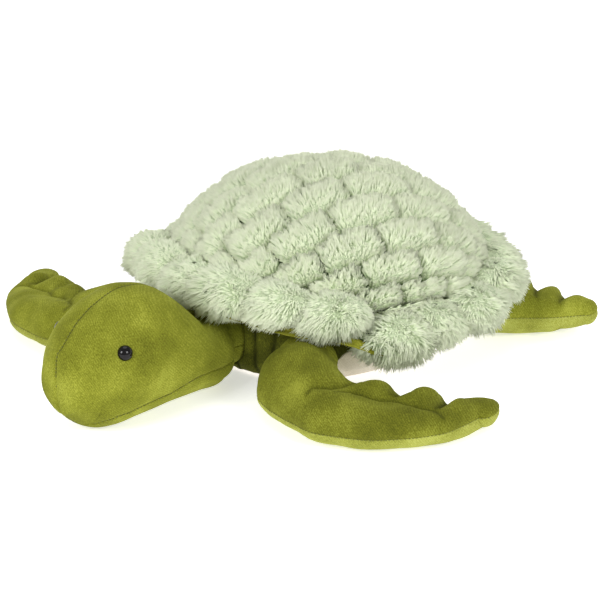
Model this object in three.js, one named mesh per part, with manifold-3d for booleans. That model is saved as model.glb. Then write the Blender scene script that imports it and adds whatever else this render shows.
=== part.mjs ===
// A plush sea turtle lying on its belly, head and flippers spread on the floor.
// Millimetres, +Z up, head toward -Y, the animal's left side toward +X.
// The origin is on the floor, under the middle of the belly.
import * as THREE from 'three';
import { mergeVertices } from 'three/addons/utils/BufferGeometryUtils.js';
import Module from 'manifold-3d';

// Cloth and the air between pieces
const cloth = 1.6;
const gap = 0.3;
const fillGap = 0.5;
const seamDraw = 0.4;
const flatCut = 0.5;
const overrun = 20;

// Shell: a domed fur cover over the back, with a thick tufted rim
const domeHalfWidth = 138;
const domeHalfLength = 137;
const domeRise = 88;
const domeSquareness = 1.8;
const domeRings = 6;
const domeBase = 60;
const pileThickness = 16;
const tileLength = 57;
const tileWidth = 29;
const tileGroove = 9;
const tileBevel = 7;
const tileLean = THREE.MathUtils.degToRad(-19);
const tileRowStart = 1;
const tileEndStart = -32;
const rimOverhang = 28;
const rimRadius = domeHalfWidth + rimOverhang;
const rimThickness = 17;
const rimBite = 4;
const rimEdge = 40;
const rimHigh = 26;
const rimLobeCount = 20;
const rimLobeDepth = 6;
const rimSteps = 40;
const liningTop = 64;
const weltOverhang = 1.5;

// Torso under the shell
const torsoSideInset = 26;
const torsoEndInset = 6;
const torsoHalfWidth = domeHalfWidth - torsoSideInset;
const torsoHalfLength = domeHalfLength - torsoEndInset;
const centreY = 8;
const bellySeamHeight = 30;
const torsoSteps = 28;
const torsoSquareness = 2.5;

// Head, carried on a ball of wadding in the neck
const neckCentre = new THREE.Vector3(0, -124, 33);
const neckRadius = 27;
const neckWaddingRadius = 15;
const neckChannelRadius = 9;
const headLength = 173;
const headWidth = 91;
const headHeight = 104;
const gussetRow = 8;
const crownShare = 0.46;

// Eyes: a black safety eye, its stem through the cloth into a washer
const eyeDiameter = 12;
const eyeHeight = 5;
const eyeClear = 0.7;
const stemDiameter = 4;
const stemLength = 13;
const washerDiameter = 16;
const washerThickness = 1.5;
const washerDrop = 2.2;
const eyeSteps = 12;

// Flippers, each on a ball of wadding at its root
const socketSides = 12;
const waddingSides = 12;
const frontRootInset = 25;
const frontRootHeight = 28;
const frontRootAhead = 121;
const rearRootInset = 20;
const rearRootHeight = 29;
const rearRootBehind = 76;
const front = {
  root: new THREE.Vector3(
    torsoHalfWidth - frontRootInset, centreY - frontRootAhead, frontRootHeight
  ),
  rootRadius: 25,
  waddingRadius: 13,
  channelRadius: 8,
  reach: 147,
  chord: 134,
  height: 60,
};
const rear = {
  root: new THREE.Vector3(
    torsoHalfWidth - rearRootInset, centreY + rearRootBehind, rearRootHeight
  ),
  rootRadius: 20,
  reach: 94,
  chord: 92,
  height: 46,
};
const farFlipperYaw = THREE.MathUtils.degToRad(19);

// Shares around the rim from the front to the back: angle, radius, height of the lower edge,
// thickness
const rimShares = [
  [0.00, 0.97, 1.00, 1.00], [0.10, 0.98, 0.96, 1.00], [0.19, 1.00, 0.82, 1.00],
  [0.25, 1.01, 0.62, 1.00], [0.29, 1.02, 0.25, 1.00], [0.32, 1.02, -0.05, 1.00],
  [0.41, 0.99, 0.02, 1.00], [0.53, 1.02, 0.15, 0.95], [0.66, 1.01, 0.35, 0.75],
  [0.78, 0.98, 0.42, 0.65], [0.89, 0.96, 0.30, 0.70], [1.00, 0.97, 0.25, 0.75],
];
// Shares up the torso: height of the belly seam, size of the plan
const torsoShares = [[0.00, 0.86], [0.12, 0.93], [0.42, 0.985], [1.00, 1.00], [2.06, 0.985]];

// Shares along the head from the neck's centre: length, half width, top, bottom
const headShares = [
  [0.10, 0.78, 0.52, 0.03], [0.19, 0.90, 0.56, 0.00], [0.29, 0.98, 0.73, 0.00],
  [0.42, 1.03, 0.92, 0.00], [0.56, 1.04, 1.00, 0.00], [0.67, 1.03, 0.99, 0.00],
  [0.78, 0.96, 0.94, 0.00], [0.88, 0.80, 0.84, 0.05], [0.96, 0.50, 0.69, 0.18],
];
const snoutShare = 0.42;
const gussetFadeShare = 0.125;

// Turns round the head from its crown: the strip's edge, down the cheek to the jaw, the throat
const headTurnShares = [0.02, 0.09, 0.17, 0.25, 0.33, 0.42, 0.5];
const jawColumn = 4;
const eyeRow = 10;
const eyeColumn = 2;

// Turns of the ball at the end of a limb, from its pole outward
const rootTurnShares = [0.21, 0.125, 0.04, -0.05];

// Shares of the front flipper's sections: its front and back edges as reach and chord,
// then the height of its top, edge seam and underside
const frontShares = [
  [-0.10, -0.27, 0.14, 0.10, 0.87, 0.37, 0.03], [-0.045, -0.37, 0.19, 0.055, 0.92, 0.27, 0.00],
  [0.06, -0.435, 0.245, 0.02, 0.92, 0.25, 0.00], [0.22, -0.485, 0.31, -0.015, 0.85, 0.25, 0.00],
  [0.36, -0.51, 0.365, -0.02, 0.76, 0.25, 0.00], [0.47, -0.51, 0.43, 0.045, 0.70, 0.25, 0.00],
  [0.57, -0.47, 0.50, 0.135, 0.64, 0.25, 0.00], [0.66, -0.42, 0.575, 0.165, 0.60, 0.25, 0.00],
  [0.745, -0.365, 0.63, 0.27, 0.56, 0.25, 0.00], [0.82, -0.28, 0.70, 0.31, 0.53, 0.25, 0.00],
  [0.90, -0.17, 0.775, 0.315, 0.48, 0.25, 0.00], [0.96, -0.04, 0.84, 0.41, 0.45, 0.25, 0.00],
  [0.985, 0.10, 0.88, 0.465, 0.40, 0.25, 0.02], [0.98, 0.27, 0.925, 0.48, 0.34, 0.25, 0.06],
];
const frontTipShares = [0.955, 0.43, 0.25];
const rearShares = [
  [0.22, -0.21, 0.06, 0.26, 1.02, 0.52, 0.16], [0.33, -0.19, 0.14, 0.50, 1.00, 0.50, 0.03],
  [0.45, -0.10, 0.23, 0.69, 0.94, 0.50, 0.00], [0.55, 0.02, 0.36, 0.66, 0.89, 0.49, 0.00],
  [0.66, 0.14, 0.49, 0.77, 0.83, 0.48, 0.03], [0.75, 0.25, 0.63, 0.71, 0.78, 0.47, 0.07],
  [0.84, 0.39, 0.75, 0.77, 0.74, 0.46, 0.12], [0.93, 0.54, 0.86, 0.78, 0.67, 0.45, 0.20],
];
const rearTipShares = [0.97, 0.72, 0.45];
const sectionQuarter = 4;

// Shares of the slope under the rim, from the torso's wall to the rim's edge
const liningShares = [0.02, 1];
const slopeOutside = 1.6;
const slopeInside = -0.2;
const slopeFarInside = -0.6;

// Lean of a flipper's root seam, forward at the front and backward at the rear
const rootLeanShare = 0.4;

const wasm = await Module();
wasm.setup();

const turn = 2 * Math.PI;

function signedVolume(points, faces) {
  return faces.reduce((sum, [a, b, c]) => (
    sum + points[a].dot(new THREE.Vector3().crossVectors(points[b], points[c]))
  ), 0);
}

// A closed geometry with shared vertices, its faces pointing out
function closedGeometry(points, faces) {
  const outwards = signedVolume(points, faces) > 0;
  const order = faces.flatMap(([a, b, c]) => (outwards ? [a, b, c] : [a, c, b]));
  return new THREE.BufferGeometry().setFromPoints(points).setIndex(order);
}

// A solid for cutting and joining, from any closed geometry
function solidOf(geometry) {
  const bare = geometry.clone();
  bare.deleteAttribute('normal');
  bare.deleteAttribute('uv');
  const merged = mergeVertices(bare);
  const corners = [];
  for (let i = 0; i < merged.index.count; i += 3) {
    const face = [0, 1, 2].map((k) => merged.index.getX(i + k));
    if (new Set(face).size === 3) {
      corners.push(...face);
    }
  }
  return new wasm.Manifold(new wasm.Mesh({
    numProp: 3,
    vertProperties: Float32Array.from(merged.attributes.position.array),
    triVerts: Uint32Array.from(corners),
  }));
}

function geometryOf(solid) {
  const mesh = solid.getMesh();
  const geometry = new THREE.BufferGeometry();
  geometry.setAttribute('position', new THREE.BufferAttribute(mesh.vertProperties, 3));
  geometry.setIndex(new THREE.BufferAttribute(mesh.triVerts, 1));
  geometry.computeVertexNormals();
  return geometry;
}

// The points of a closed form drawn in by a thickness, along its vertex normals
function drawnIn({ points, faces }, depth) {
  const shape = closedGeometry(points, faces);
  shape.computeVertexNormals();
  const normals = shape.attributes.normal;
  return points.map((point, i) => (
    new THREE.Vector3().fromBufferAttribute(normals, i).multiplyScalar(-depth).add(point)
  ));
}

function filled(form, depth = 0) {
  return solidOf(closedGeometry(drawnIn(form, depth), form.faces));
}

// One panel of cloth: the faces of a form that carry its name, with the cloth's thickness,
// its edges drawn back a little for the seam
function panel(form, name) {
  const inner = drawnIn(form, cloth);
  const faces = form.faces.filter((face) => face[3] === name);
  const edges = openEdges(faces);
  const pull = new Map();
  for (const face of faces) {
    for (let i = 0; i < 3; i += 1) {
      const at = face[i];
      const middle = new THREE.Vector3();
      middle.addVectors(form.points[face[(i + 1) % 3]], form.points[face[(i + 2) % 3]]);
      middle.multiplyScalar(0.5).sub(form.points[at]);
      pull.set(at, (pull.get(at) ?? new THREE.Vector3()).add(middle));
    }
  }
  const border = new Set(edges.map(([from]) => from));
  const drawnBack = (points) => points.map((point, i) => (
    border.has(i) ? pull.get(i).clone().setLength(seamDraw).add(point) : point
  ));
  const count = form.points.length;
  const walls = edges.flatMap(([a, b]) => [[b, a, a + count], [b, a + count, b + count]]);
  const backs = faces.map(([a, b, c]) => [a + count, c + count, b + count]);
  const points = [...drawnBack(form.points), ...drawnBack(inner)];
  return solidOf(closedGeometry(...used(points, [...faces, ...backs, ...walls])));
}

// The edges that belong to one face only
function openEdges(faces) {
  const open = new Map();
  for (const face of faces) {
    for (let i = 0; i < 3; i += 1) {
      const from = face[i];
      const to = face[(i + 1) % 3];
      if (!open.delete(`${to},${from}`)) {
        open.set(`${from},${to}`, [from, to]);
      }
    }
  }
  return [...open.values()];
}

// Only the points that the faces use
function used(points, faces) {
  const places = new Map();
  const kept = [];
  const renumbered = faces.map(([a, b, c]) => [a, b, c].map((i) => {
    if (!places.has(i)) {
      places.set(i, kept.length);
      kept.push(points[i]);
    }
    return places.get(i);
  }));
  return [kept, renumbered];
}

// Rings of points between two end points; nameOf gives each face's panel from its ring and column
function loft(rings, start, end, nameOf) {
  const count = rings[0].length;
  const points = [...rings.flat(), start, end];
  const faces = [];
  const last = (rings.length - 1) * count;
  for (let k = 0; k < count; k += 1) {
    const j = (k + 1) % count;
    for (let r = 0; r < last; r += count) {
      const name = nameOf(r / count, k);
      faces.push([r + k, r + j, r + count + k, name]);
      faces.push([r + j, r + count + j, r + count + k, name]);
    }
    faces.push([j, k, points.length - 2, nameOf(-1, k)]);
    faces.push([last + k, last + j, points.length - 1, nameOf(rings.length - 1, k)]);
  }
  return outwardForm(points, faces);
}

function outwardForm(points, faces) {
  const outwards = signedVolume(points, faces) > 0;
  return { points, faces: outwards ? faces : faces.map(([a, b, c, name]) => [a, c, b, name]) };
}

// Rings of equal count joined in order; the end rings are filled, or meet in a loop
function ringsGeometry(rings, looped = false) {
  const points = rings.flat();
  const count = rings[0].length;
  const faces = [];
  const last = looped ? rings.length : rings.length - 1;
  for (let r = 0; r < last; r += 1) {
    const next = (r + 1) % rings.length;
    for (let i = 0; i < count; i += 1) {
      const j = (i + 1) % count;
      faces.push([r * count + i, r * count + j, next * count + i]);
      faces.push([r * count + j, next * count + j, next * count + i]);
    }
  }
  if (!looped) {
    faces.push(...endFaces(rings[0], 0, true));
    faces.push(...endFaces(rings.at(-1), points.length - count, false));
  }
  return closedGeometry(points, faces);
}

// Triangles that fill a ring, seen from above or below
function endFaces(ring, start, facesBack) {
  const outline = ring.map((p) => new THREE.Vector2(p.x, p.y));
  const reversed = THREE.ShapeUtils.isClockWise(outline);
  const fill = THREE.ShapeUtils.triangulateShape(outline, []);
  return fill.map(([a, b, c]) => (
    facesBack === reversed ? [start + a, start + b, start + c] : [start + a, start + c, start + b]
  ));
}

// A smooth closed or open run through rows of numbers, read at a share of its length
function rowAt(rows, value) {
  let k = 0;
  while (k < rows.length - 2 && rows[k + 1][0] < value) {
    k += 1;
  }
  const from = rows[Math.max(k - 1, 0)];
  const low = rows[k];
  const high = rows[k + 1];
  const beyond = rows[Math.min(k + 2, rows.length - 1)];
  const t = THREE.MathUtils.clamp((value - low[0]) / (high[0] - low[0]), 0, 1);
  return low.map((start, i) => {
    const rise = (high[i] - from[i]) / (high[0] - from[0]) * (high[0] - low[0]);
    const fall = (beyond[i] - start) / (beyond[0] - low[0]) * (high[0] - low[0]);
    const t2 = t * t;
    const t3 = t2 * t;
    return (2 * t3 - 3 * t2 + 1) * start + (t3 - 2 * t2 + t) * rise
      + (3 * t2 - 2 * t3) * high[i] + (t3 - t2) * fall;
  });
}

// The largest of a solid's bodies, without the slivers that cutting left beside it
function largest(solid) {
  return solid.decompose().reduce((kept, body) => (body.volume() > kept.volume() ? body : kept));
}

// A box between two corners
function block(low, high) {
  const size = new THREE.Vector3().subVectors(high, low);
  const middle = new THREE.Vector3().addVectors(low, high).multiplyScalar(0.5);
  return solidOf(new THREE.BoxGeometry(size.x, size.y, size.z).translate(...middle));
}

const far = 2 * (headLength + torsoHalfLength + front.reach);

function above(height) {
  return block(new THREE.Vector3(-far, -far, height), new THREE.Vector3(far, far, far));
}

function ball(radius, sides, centre = new THREE.Vector3(), spin = 0) {
  const sphere = new THREE.SphereGeometry(radius, sides, sides / 2);
  return solidOf(sphere.rotateX(turn / 4).rotateZ(spin).translate(...centre));
}

// A ball that clears a faceted ball of the given radius at every angle
function socketBall(radius, centre) {
  const facet = Math.cos(Math.PI / socketSides) ** 2;
  return ball((radius + gap) / facet, socketSides, centre);
}

// A rod from the origin along a direction
function rod(radius, from, to, direction) {
  const shaft = new THREE.CylinderGeometry(radius, radius, to - from, waddingSides);
  shaft.translate(0, (from + to) / 2, 0);
  const up = new THREE.Vector3(0, 1, 0);
  shaft.applyQuaternion(new THREE.Quaternion().setFromUnitVectors(up, direction));
  return solidOf(shaft);
}

// Direction of an angle round the shell, from the front toward the animal's left
function outward(angle) {
  return new THREE.Vector3(Math.sin(angle), -Math.cos(angle), 0);
}

function onPlan(angle, radius, height) {
  return outward(angle).multiplyScalar(radius).add(new THREE.Vector3(0, centreY, height));
}

function superellipse(angle, halfWidth, halfLength, power) {
  const across = Math.abs(Math.sin(angle) / halfWidth) ** power;
  const along = Math.abs(Math.cos(angle) / halfLength) ** power;
  return (across + along) ** (-1 / power);
}

function torsoRadius(angle, share) {
  const halfWidth = torsoHalfWidth * share;
  const halfLength = torsoHalfLength - torsoHalfWidth * (1 - share);
  return superellipse(angle, halfWidth, halfLength, torsoSquareness);
}

// Outer radius, lower edge and thickness of the rim
function rimAt(angle) {
  const half = Math.abs(Math.atan2(Math.sin(angle), Math.cos(angle))) / Math.PI;
  const [, radiusShare, edgeShare, thicknessShare] = rowAt(rimShares, half);
  return {
    radius: rimRadius * radiusShare,
    edge: rimEdge + rimHigh * edgeShare,
    thickness: rimThickness * thicknessShare,
  };
}

// The slope under the rim, from the torso (0) out to the rim's edge (1)
function underRim(angle, share, drop) {
  const inner = torsoRadius(angle, torsoShares.at(-1)[1]);
  const { radius, edge } = rimAt(angle);
  const height = THREE.MathUtils.lerp(liningTop, edge, share);
  return onPlan(angle, THREE.MathUtils.lerp(inner, radius, share), height - drop);
}

function aroundRim(sectionAt) {
  const rings = [];
  for (let k = 0; k < rimSteps; k += 1) {
    rings.push(sectionAt(k / rimSteps * turn));
  }
  return ringsGeometry(rings, true);
}

// The torso: belly up to its seam, side above it, open under the shell
function torsoForm() {
  const rings = torsoShares.map(([height, share]) => {
    const ring = [];
    for (let k = 0; k < torsoSteps; k += 1) {
      const angle = k / torsoSteps * turn;
      ring.push(onPlan(angle, torsoRadius(angle, share), height * bellySeamHeight));
    }
    return ring;
  });
  const seamRow = torsoShares.findIndex(([height]) => height === 1);
  const top = onPlan(0, 0, torsoShares.at(-1)[0] * bellySeamHeight);
  return loft(rings, onPlan(0, 0, 0), top, (row) => {
    if (row === rings.length - 1) {
      return 'open';
    }
    return row < seamRow ? 'belly' : 'side';
  });
}

// Out and up shares of the dome's profile at a lean from its top (0) to its base (a quarter turn)
function domeProfile(lean) {
  const power = 2 / domeSquareness;
  return { out: Math.sin(lean) ** power, up: Math.max(Math.cos(lean), 0) ** power };
}

// A point of the shell from its place on the flat fur cloth, raised off the surface
function onDome(along, across, lift) {
  const x = across * Math.cos(tileLean) - along * Math.sin(tileLean);
  const y = across * Math.sin(tileLean) + along * Math.cos(tileLean);
  const arc = Math.hypot(x, y);
  const angle = Math.atan2(x, -y);
  const half = superellipse(angle, domeHalfWidth, domeHalfLength, 2);
  const lean = Math.min(arc / domeArc, 1) * turn / 4;
  const { out, up } = domeProfile(lean);
  const drop = Math.max(arc - domeArc, 0);
  const slope = new THREE.Vector2(Math.sin(lean) / half, Math.cos(lean) / domeRise).setLength(lift);
  const point = onPlan(angle, half * out, domeBase + domeRise * up - drop);
  return point.add(outward(angle).multiplyScalar(slope.x)).setZ(point.z + slope.y);
}

const domeArc = turn / 4 * Math.sqrt((domeHalfWidth ** 2 + domeRise ** 2) / 2);

// The fur tiles, laid like bricks: each is sunk along its edges and raised inside
function tiledForm() {
  const points = [];
  const places = new Map();
  const faces = [];
  const spot = (key, along, across, lift) => {
    if (!places.has(key)) {
      places.set(key, points.length);
      points.push(onDome(along, across, lift));
    }
    return places.get(key);
  };
  const reach = domeArc + domeBase - rimEdge + tileWidth;
  const rows = Math.ceil(reach / tileWidth);
  const halfTiles = 2 * Math.ceil(reach / tileLength);
  for (let row = -rows; row < rows; row += 1) {
    for (let step = -halfTiles; step < halfTiles; step += 1) {
      if ((step + row) % 2 !== 0) {
        continue;
      }
      const low = tileRowStart + row * tileWidth;
      const high = low + tileWidth;
      const start = tileEndStart + step * tileLength / 2;
      const middle = start + tileLength / 2;
      const end = start + tileLength;
      if (Math.hypot((low + high) / 2, middle) > reach) {
        continue;
      }
      const border = [
        spot(`${row},${step}`, start, low, -tileGroove),
        spot(`${row},${step + 1}`, middle, low, -tileGroove),
        spot(`${row},${step + 2}`, end, low, -tileGroove),
        spot(`${row + 1},${step + 2}`, end, high, -tileGroove),
        spot(`${row + 1},${step + 1}`, middle, high, -tileGroove),
        spot(`${row + 1},${step}`, start, high, -tileGroove),
      ];
      const [a, b, c, d] = [
        [start + tileBevel, low + tileBevel], [end - tileBevel, low + tileBevel],
        [end - tileBevel, high - tileBevel], [start + tileBevel, high - tileBevel],
      ].map(([along, across], i) => spot(`${row},${step},${i}`, along, across, 0));
      faces.push(
        [border[0], border[1], a], [border[1], b, a], [border[1], border[2], b],
        [border[2], border[3], b], [border[3], c, b], [border[3], border[4], c],
        [border[4], d, c], [border[4], border[5], d], [border[5], border[0], d],
        [border[0], a, d], [a, b, c], [a, c, d],
      );
    }
  }
  return closedGeometry(points, faces.concat(floorFaces(points, faces)));
}

// Triangles from every open edge of a skirt to one point under its middle
function floorFaces(points, faces) {
  const centre = points.length;
  points.push(new THREE.Vector3(0, centreY, -domeBase));
  return openEdges(faces).map(([from, to]) => [to, from, centre]);
}

// A plain dome with straight sides below its base, drawn in from the tiled one
function domeForm(inset) {
  const rings = [];
  for (let r = 1; r <= domeRings + 1; r += 1) {
    const lean = Math.min(r, domeRings) / domeRings * turn / 4;
    const drop = r > domeRings ? domeBase : 0;
    const ring = [];
    for (let k = 0; k < torsoSteps; k += 1) {
      const angle = k / torsoSteps * turn;
      const half = superellipse(angle, domeHalfWidth - inset, domeHalfLength - inset, 2);
      const { out, up } = domeProfile(lean);
      ring.push(onPlan(angle, half * out, domeBase + (domeRise - inset) * up - drop));
    }
    rings.push(ring);
  }
  return solidOf(ringsGeometry(rings));
}

// Everything below the slope under the rim, from a share inside the torso's wall outward
function underRimSpace(inside) {
  const shares = [inside, ...liningShares, slopeOutside];
  return solidOf(aroundRim((angle) => {
    const slope = shares.map((share) => underRim(angle, share, 0));
    return [...slope, slope.at(-1).clone().setZ(-overrun), slope[0].clone().setZ(-overrun)];
  }));
}

// The thick roll of fur round the shell, scalloped into tufts
function rimForm(grown) {
  return solidOf(aroundRim((angle) => {
    const { radius, edge, thickness } = rimAt(angle);
    const bulge = Math.abs(Math.sin(rimLobeCount * angle / 2));
    const outer = radius - rimLobeDepth * (1 - bulge) + grown;
    const top = edge + thickness - rimLobeDepth / 2 * (1 - bulge) + grown;
    const bottom = edge - thickness - grown;
    const half = superellipse(angle, domeHalfWidth, domeHalfLength, 2);
    const middle = edge + thickness / 2;
    const climb = THREE.MathUtils.clamp((middle - domeBase) / domeRise, 0, 1);
    const inner = half * (1 - climb ** domeSquareness) ** (1 / domeSquareness) - rimBite - grown;
    const edgeRound = thickness / 4;
    return [
      onPlan(angle, inner, bottom), onPlan(angle, inner, top),
      onPlan(angle, (inner + outer) / 2, top + edgeRound / 2),
      onPlan(angle, outer - edgeRound, top - edgeRound / 2),
      onPlan(angle, outer, middle), onPlan(angle, outer - edgeRound / 2, bottom),
    ];
  }));
}

// The olive lining under the rim, ending in a welt at its edge
function liningForm() {
  return solidOf(aroundRim((angle) => {
    const { radius } = rimAt(angle);
    const inner = torsoRadius(angle, torsoShares.at(-1)[1]);
    const welt = 1 + weltOverhang / (radius - inner);
    const shares = [...liningShares, welt];
    return [
      ...shares.map((share) => underRim(angle, share, gap)),
      ...shares.toReversed().map((share) => underRim(angle, share, gap + cloth)),
    ];
  }));
}

// Rings of the ball at the end of a limb that leaves it along a level direction
function rootRings(radius, out, ringAt) {
  return rootTurnShares.map((share) => {
    const centre = out.clone().multiplyScalar(-radius * Math.sin(share * turn));
    return ringAt(centre, radius * Math.cos(share * turn));
  });
}

// A flipper about its root's centre, its rings running from the front edge over the top
function flipperForm(limb, sections, tip, side) {
  const out = rootDirection(limb);
  const along = new THREE.Vector3(out.y, -out.x, 0);
  const ring = (lead, trail, top, seam, bottom) => {
    const points = [];
    for (let k = 0; k < 2 * sectionQuarter; k += 1) {
      const angle = k / sectionQuarter * Math.PI;
      const across = (1 - Math.cos(angle)) / 2;
      const rise = Math.sin(angle);
      const height = rise > 0 ? seam + rise * (top - seam) : seam + rise * (seam - bottom + flatCut);
      points.push(new THREE.Vector3(
        side * THREE.MathUtils.lerp(lead.x, trail.x, across),
        THREE.MathUtils.lerp(lead.y, trail.y, across),
        Math.max(height, -limb.root.z),
      ));
    }
    return points;
  };
  const root = rootRings(limb.rootRadius, out, (centre, radius) => {
    const reach = along.clone().multiplyScalar(radius);
    const lead = centre.clone().add(reach);
    return ring(lead, centre.clone().sub(reach), radius, 0, flatCut - radius);
  });
  const rings = sections.map(([leadX, leadY, trailX, trailY, top, seam, bottom]) => ring(
    new THREE.Vector3(limb.reach * leadX, limb.chord * leadY, 0),
    new THREE.Vector3(limb.reach * trailX, limb.chord * trailY, 0),
    ...[top, seam, bottom].map((share) => limb.height * share - limb.root.z),
  ));
  const pole = out.clone().multiplyScalar(-limb.rootRadius).multiply(sided(side));
  const [tipX, tipY, tipHeight] = tip;
  const end = new THREE.Vector3(
    side * limb.reach * tipX, limb.chord * tipY, limb.height * tipHeight - limb.root.z,
  );
  return loft([...root, ...rings], pole, end, (row, column) => {
    if (row < 0) {
      return 'open';
    }
    return column < sectionQuarter ? 'top' : 'bottom';
  });
}

function sided(side) {
  return new THREE.Vector3(side, 1, 1);
}

// The hollow for a ball of wadding, its flats on the ball's corners, with a channel to the
// mouth where the limb is sewn on
function rootHollow(waddingRadius, channelRadius, reach, inward) {
  const facet = Math.cos(Math.PI / waddingSides) ** 2;
  const halfStep = turn / waddingSides / 2;
  const hollow = ball((waddingRadius + gap) / facet, waddingSides, undefined, halfStep);
  return hollow.add(rod(channelRadius, 0, reach, inward));
}

// Top panel, bottom panel and stuffing of one flipper, about its root's centre
function flipperParts(limb, sections, tip, side) {
  const form = flipperForm(limb, sections, tip, side);
  const fill = filled(form, cloth + fillGap);
  return {
    top: panel(form, 'top'),
    bottom: panel(form, 'bottom'),
    stuffing: limb.waddingRadius ? fill.subtract(shoulderHollow(limb, side)) : fill,
  };
}

function shoulderHollow(limb, side) {
  const inward = rootDirection(limb).multiply(sided(side)).negate();
  return rootHollow(limb.waddingRadius, limb.channelRadius, limb.rootRadius + overrun, inward);
}

// The level way out of the torso at a limb's root, on the animal's left side
function rootDirection(limb) {
  return new THREE.Vector3(1, rootLeanShare * Math.sign(limb.root.y), 0).normalize();
}

// The head about the neck's centre, pointing along -Y, from the turns of its columns
function headForm(columns) {
  const ring = (y, half, top, bottom, row) => {
    const middle = THREE.MathUtils.lerp(bottom, top, crownShare);
    return columns.map((share) => {
      const fromCrown = share - Math.round(share);
      const faded = Math.abs(fromCrown) < headTurnShares[1] && row < gussetRow;
      const angle = turn * (faded ? fromCrown * gussetFadeShare : fromCrown);
      const reach = Math.cos(angle) > 0 ? top - middle : middle - bottom;
      return new THREE.Vector3(half * Math.sin(angle), y, middle + reach * Math.cos(angle));
    });
  };
  const back = new THREE.Vector3(0, -1, 0);
  const root = rootRings(neckRadius, back, (centre, radius) => (
    ring(centre.y, radius, radius, -radius, 0)
  ));
  const rings = headShares.map(([along, width, top, bottom], i) => ring(
    -headLength * along, headWidth / 2 * width,
    headHeight * top - neckCentre.z, headHeight * bottom - neckCentre.z, i + root.length,
  ));
  const snout = new THREE.Vector3(0, -headLength, headHeight * snoutShare - neckCentre.z);
  const last = root.length + rings.length - 1;
  return loft([...root, ...rings], new THREE.Vector3(0, neckRadius, 0), snout, (row, column) => {
    if (row < 0) {
      return 'open';
    }
    const crown = column === columns.length - 1;
    const throat = column >= jawColumn && column < columns.length - 1 - jawColumn;
    if (row === last || throat || crown) {
      return 'gusset';
    }
    return column < jawColumn ? 'left' : 'right';
  });
}

// Where an eye sits on the head, and the way out of the head there
function eyeSeat(form, columns, side) {
  const column = side > 0 ? eyeColumn : columns.length - 1 - eyeColumn;
  const k = eyeRow * columns.length + column;
  const point = form.points[k];
  const out = point.clone().sub(drawnIn(form, 1)[k]).normalize();
  return { point, out };
}

// A turned piece on the eye's axis
function onEyeAxis(profile, { point, out }) {
  const piece = new THREE.LatheGeometry(profile, eyeSteps);
  const up = new THREE.Vector3(0, 1, 0);
  piece.applyQuaternion(new THREE.Quaternion().setFromUnitVectors(up, out));
  return solidOf(piece.translate(...point));
}

function eye(seat) {
  const radius = eyeDiameter / 2;
  const stem = stemDiameter / 2;
  const dome = [0, 1, 2, 3, 4].map((k) => new THREE.Vector2(
    radius * Math.cos(k / 4 * turn / 4),
    eyeClear + eyeHeight * Math.sin(k / 4 * turn / 4),
  ));
  dome[4].x = 0;
  return onEyeAxis([
    new THREE.Vector2(0, -stemLength), new THREE.Vector2(stem, -stemLength),
    new THREE.Vector2(stem, eyeClear), ...dome,
  ], seat);
}

const washerTop = -cloth - gap - washerDrop;

function eyeWasher(seat) {
  const hole = stemDiameter / 2 + gap;
  const radius = washerDiameter / 2;
  const low = washerTop - washerThickness;
  return onEyeAxis([
    new THREE.Vector2(hole, low), new THREE.Vector2(radius, low),
    new THREE.Vector2(radius, washerTop), new THREE.Vector2(hole, washerTop),
    new THREE.Vector2(hole, low),
  ], seat);
}

// The stem's hole through the cloth
function stemHollow(seat, radius) {
  return onEyeAxis([
    new THREE.Vector2(0, -stemLength), new THREE.Vector2(radius, -stemLength),
    new THREE.Vector2(radius, overrun), new THREE.Vector2(0, overrun),
  ], seat);
}

// The room for the stem and its washer in the stuffing
function washerPocket(seat, stemHole) {
  const depth = stemLength + gap;
  const radius = washerDiameter / 2 + gap;
  const floor = washerTop - washerThickness - gap;
  return onEyeAxis([
    new THREE.Vector2(0, -depth), new THREE.Vector2(stemHole, -depth),
    new THREE.Vector2(stemHole, floor), new THREE.Vector2(radius, floor),
    new THREE.Vector2(radius, overrun), new THREE.Vector2(0, overrun),
  ], seat);
}

function headParts() {
  const across = headTurnShares.slice(0, -1).reverse().map((share) => 1 - share);
  const columns = [...headTurnShares, ...across];
  const form = headForm(columns);
  const plain = headForm([0, ...columns.slice(1, -1)]);
  const reach = neckRadius + overrun;
  const seats = [1, -1].map((side) => eyeSeat(form, columns, side));
  const stemHole = stemDiameter / 2 + gap;
  const back = new THREE.Vector3(0, 1, 0);
  const hollow = rootHollow(neckWaddingRadius, neckChannelRadius, reach, back);
  const stuffing = seats.reduce((fill, seat) => fill.subtract(washerPocket(seat, stemHole)),
    filled(plain, cloth + 2 * gap).subtract(hollow));
  return {
    left: panel(form, 'left').subtract(stemHollow(seats[0], stemHole)),
    right: panel(form, 'right').subtract(stemHollow(seats[1], stemHole)),
    gusset: panel(form, 'gusset'),
    stuffing,
    seats,
  };
}

// A root's centre on one side of the animal
function rootOf(limb, side) {
  return limb.root.clone().multiply(sided(side));
}

// The dents in the torso that take the neck and the four flipper roots
function socketSpaces() {
  let spaces = socketBall(neckRadius, neckCentre);
  for (const limb of [front, rear]) {
    for (const side of [1, -1]) {
      spaces = spaces.add(socketBall(limb.rootRadius, rootOf(limb, side)));
    }
  }
  return spaces;
}

function torsoParts() {
  const form = torsoForm();
  const sockets = socketSpaces();
  const underside = underRimSpace(slopeInside);
  const domeFill = domeForm(pileThickness + gap).intersect(above(bellySeamHeight));
  const cover = solidOf(tiledForm()).subtract(domeForm(pileThickness))
    .subtract(underRimSpace(slopeFarInside)).subtract(rimForm(gap))
    .intersect(above(rimEdge - rimThickness));
  return {
    belly: panel(form, 'belly').subtract(sockets),
    side: panel(form, 'side').subtract(sockets),
    stuffing: domeFill.subtract(underside).add(filled(form, cloth + gap)).subtract(sockets),
    lining: liningForm().subtract(sockets),
    rim: rimForm(0).subtract(underside),
    cover: largest(cover),
  };
}

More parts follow.
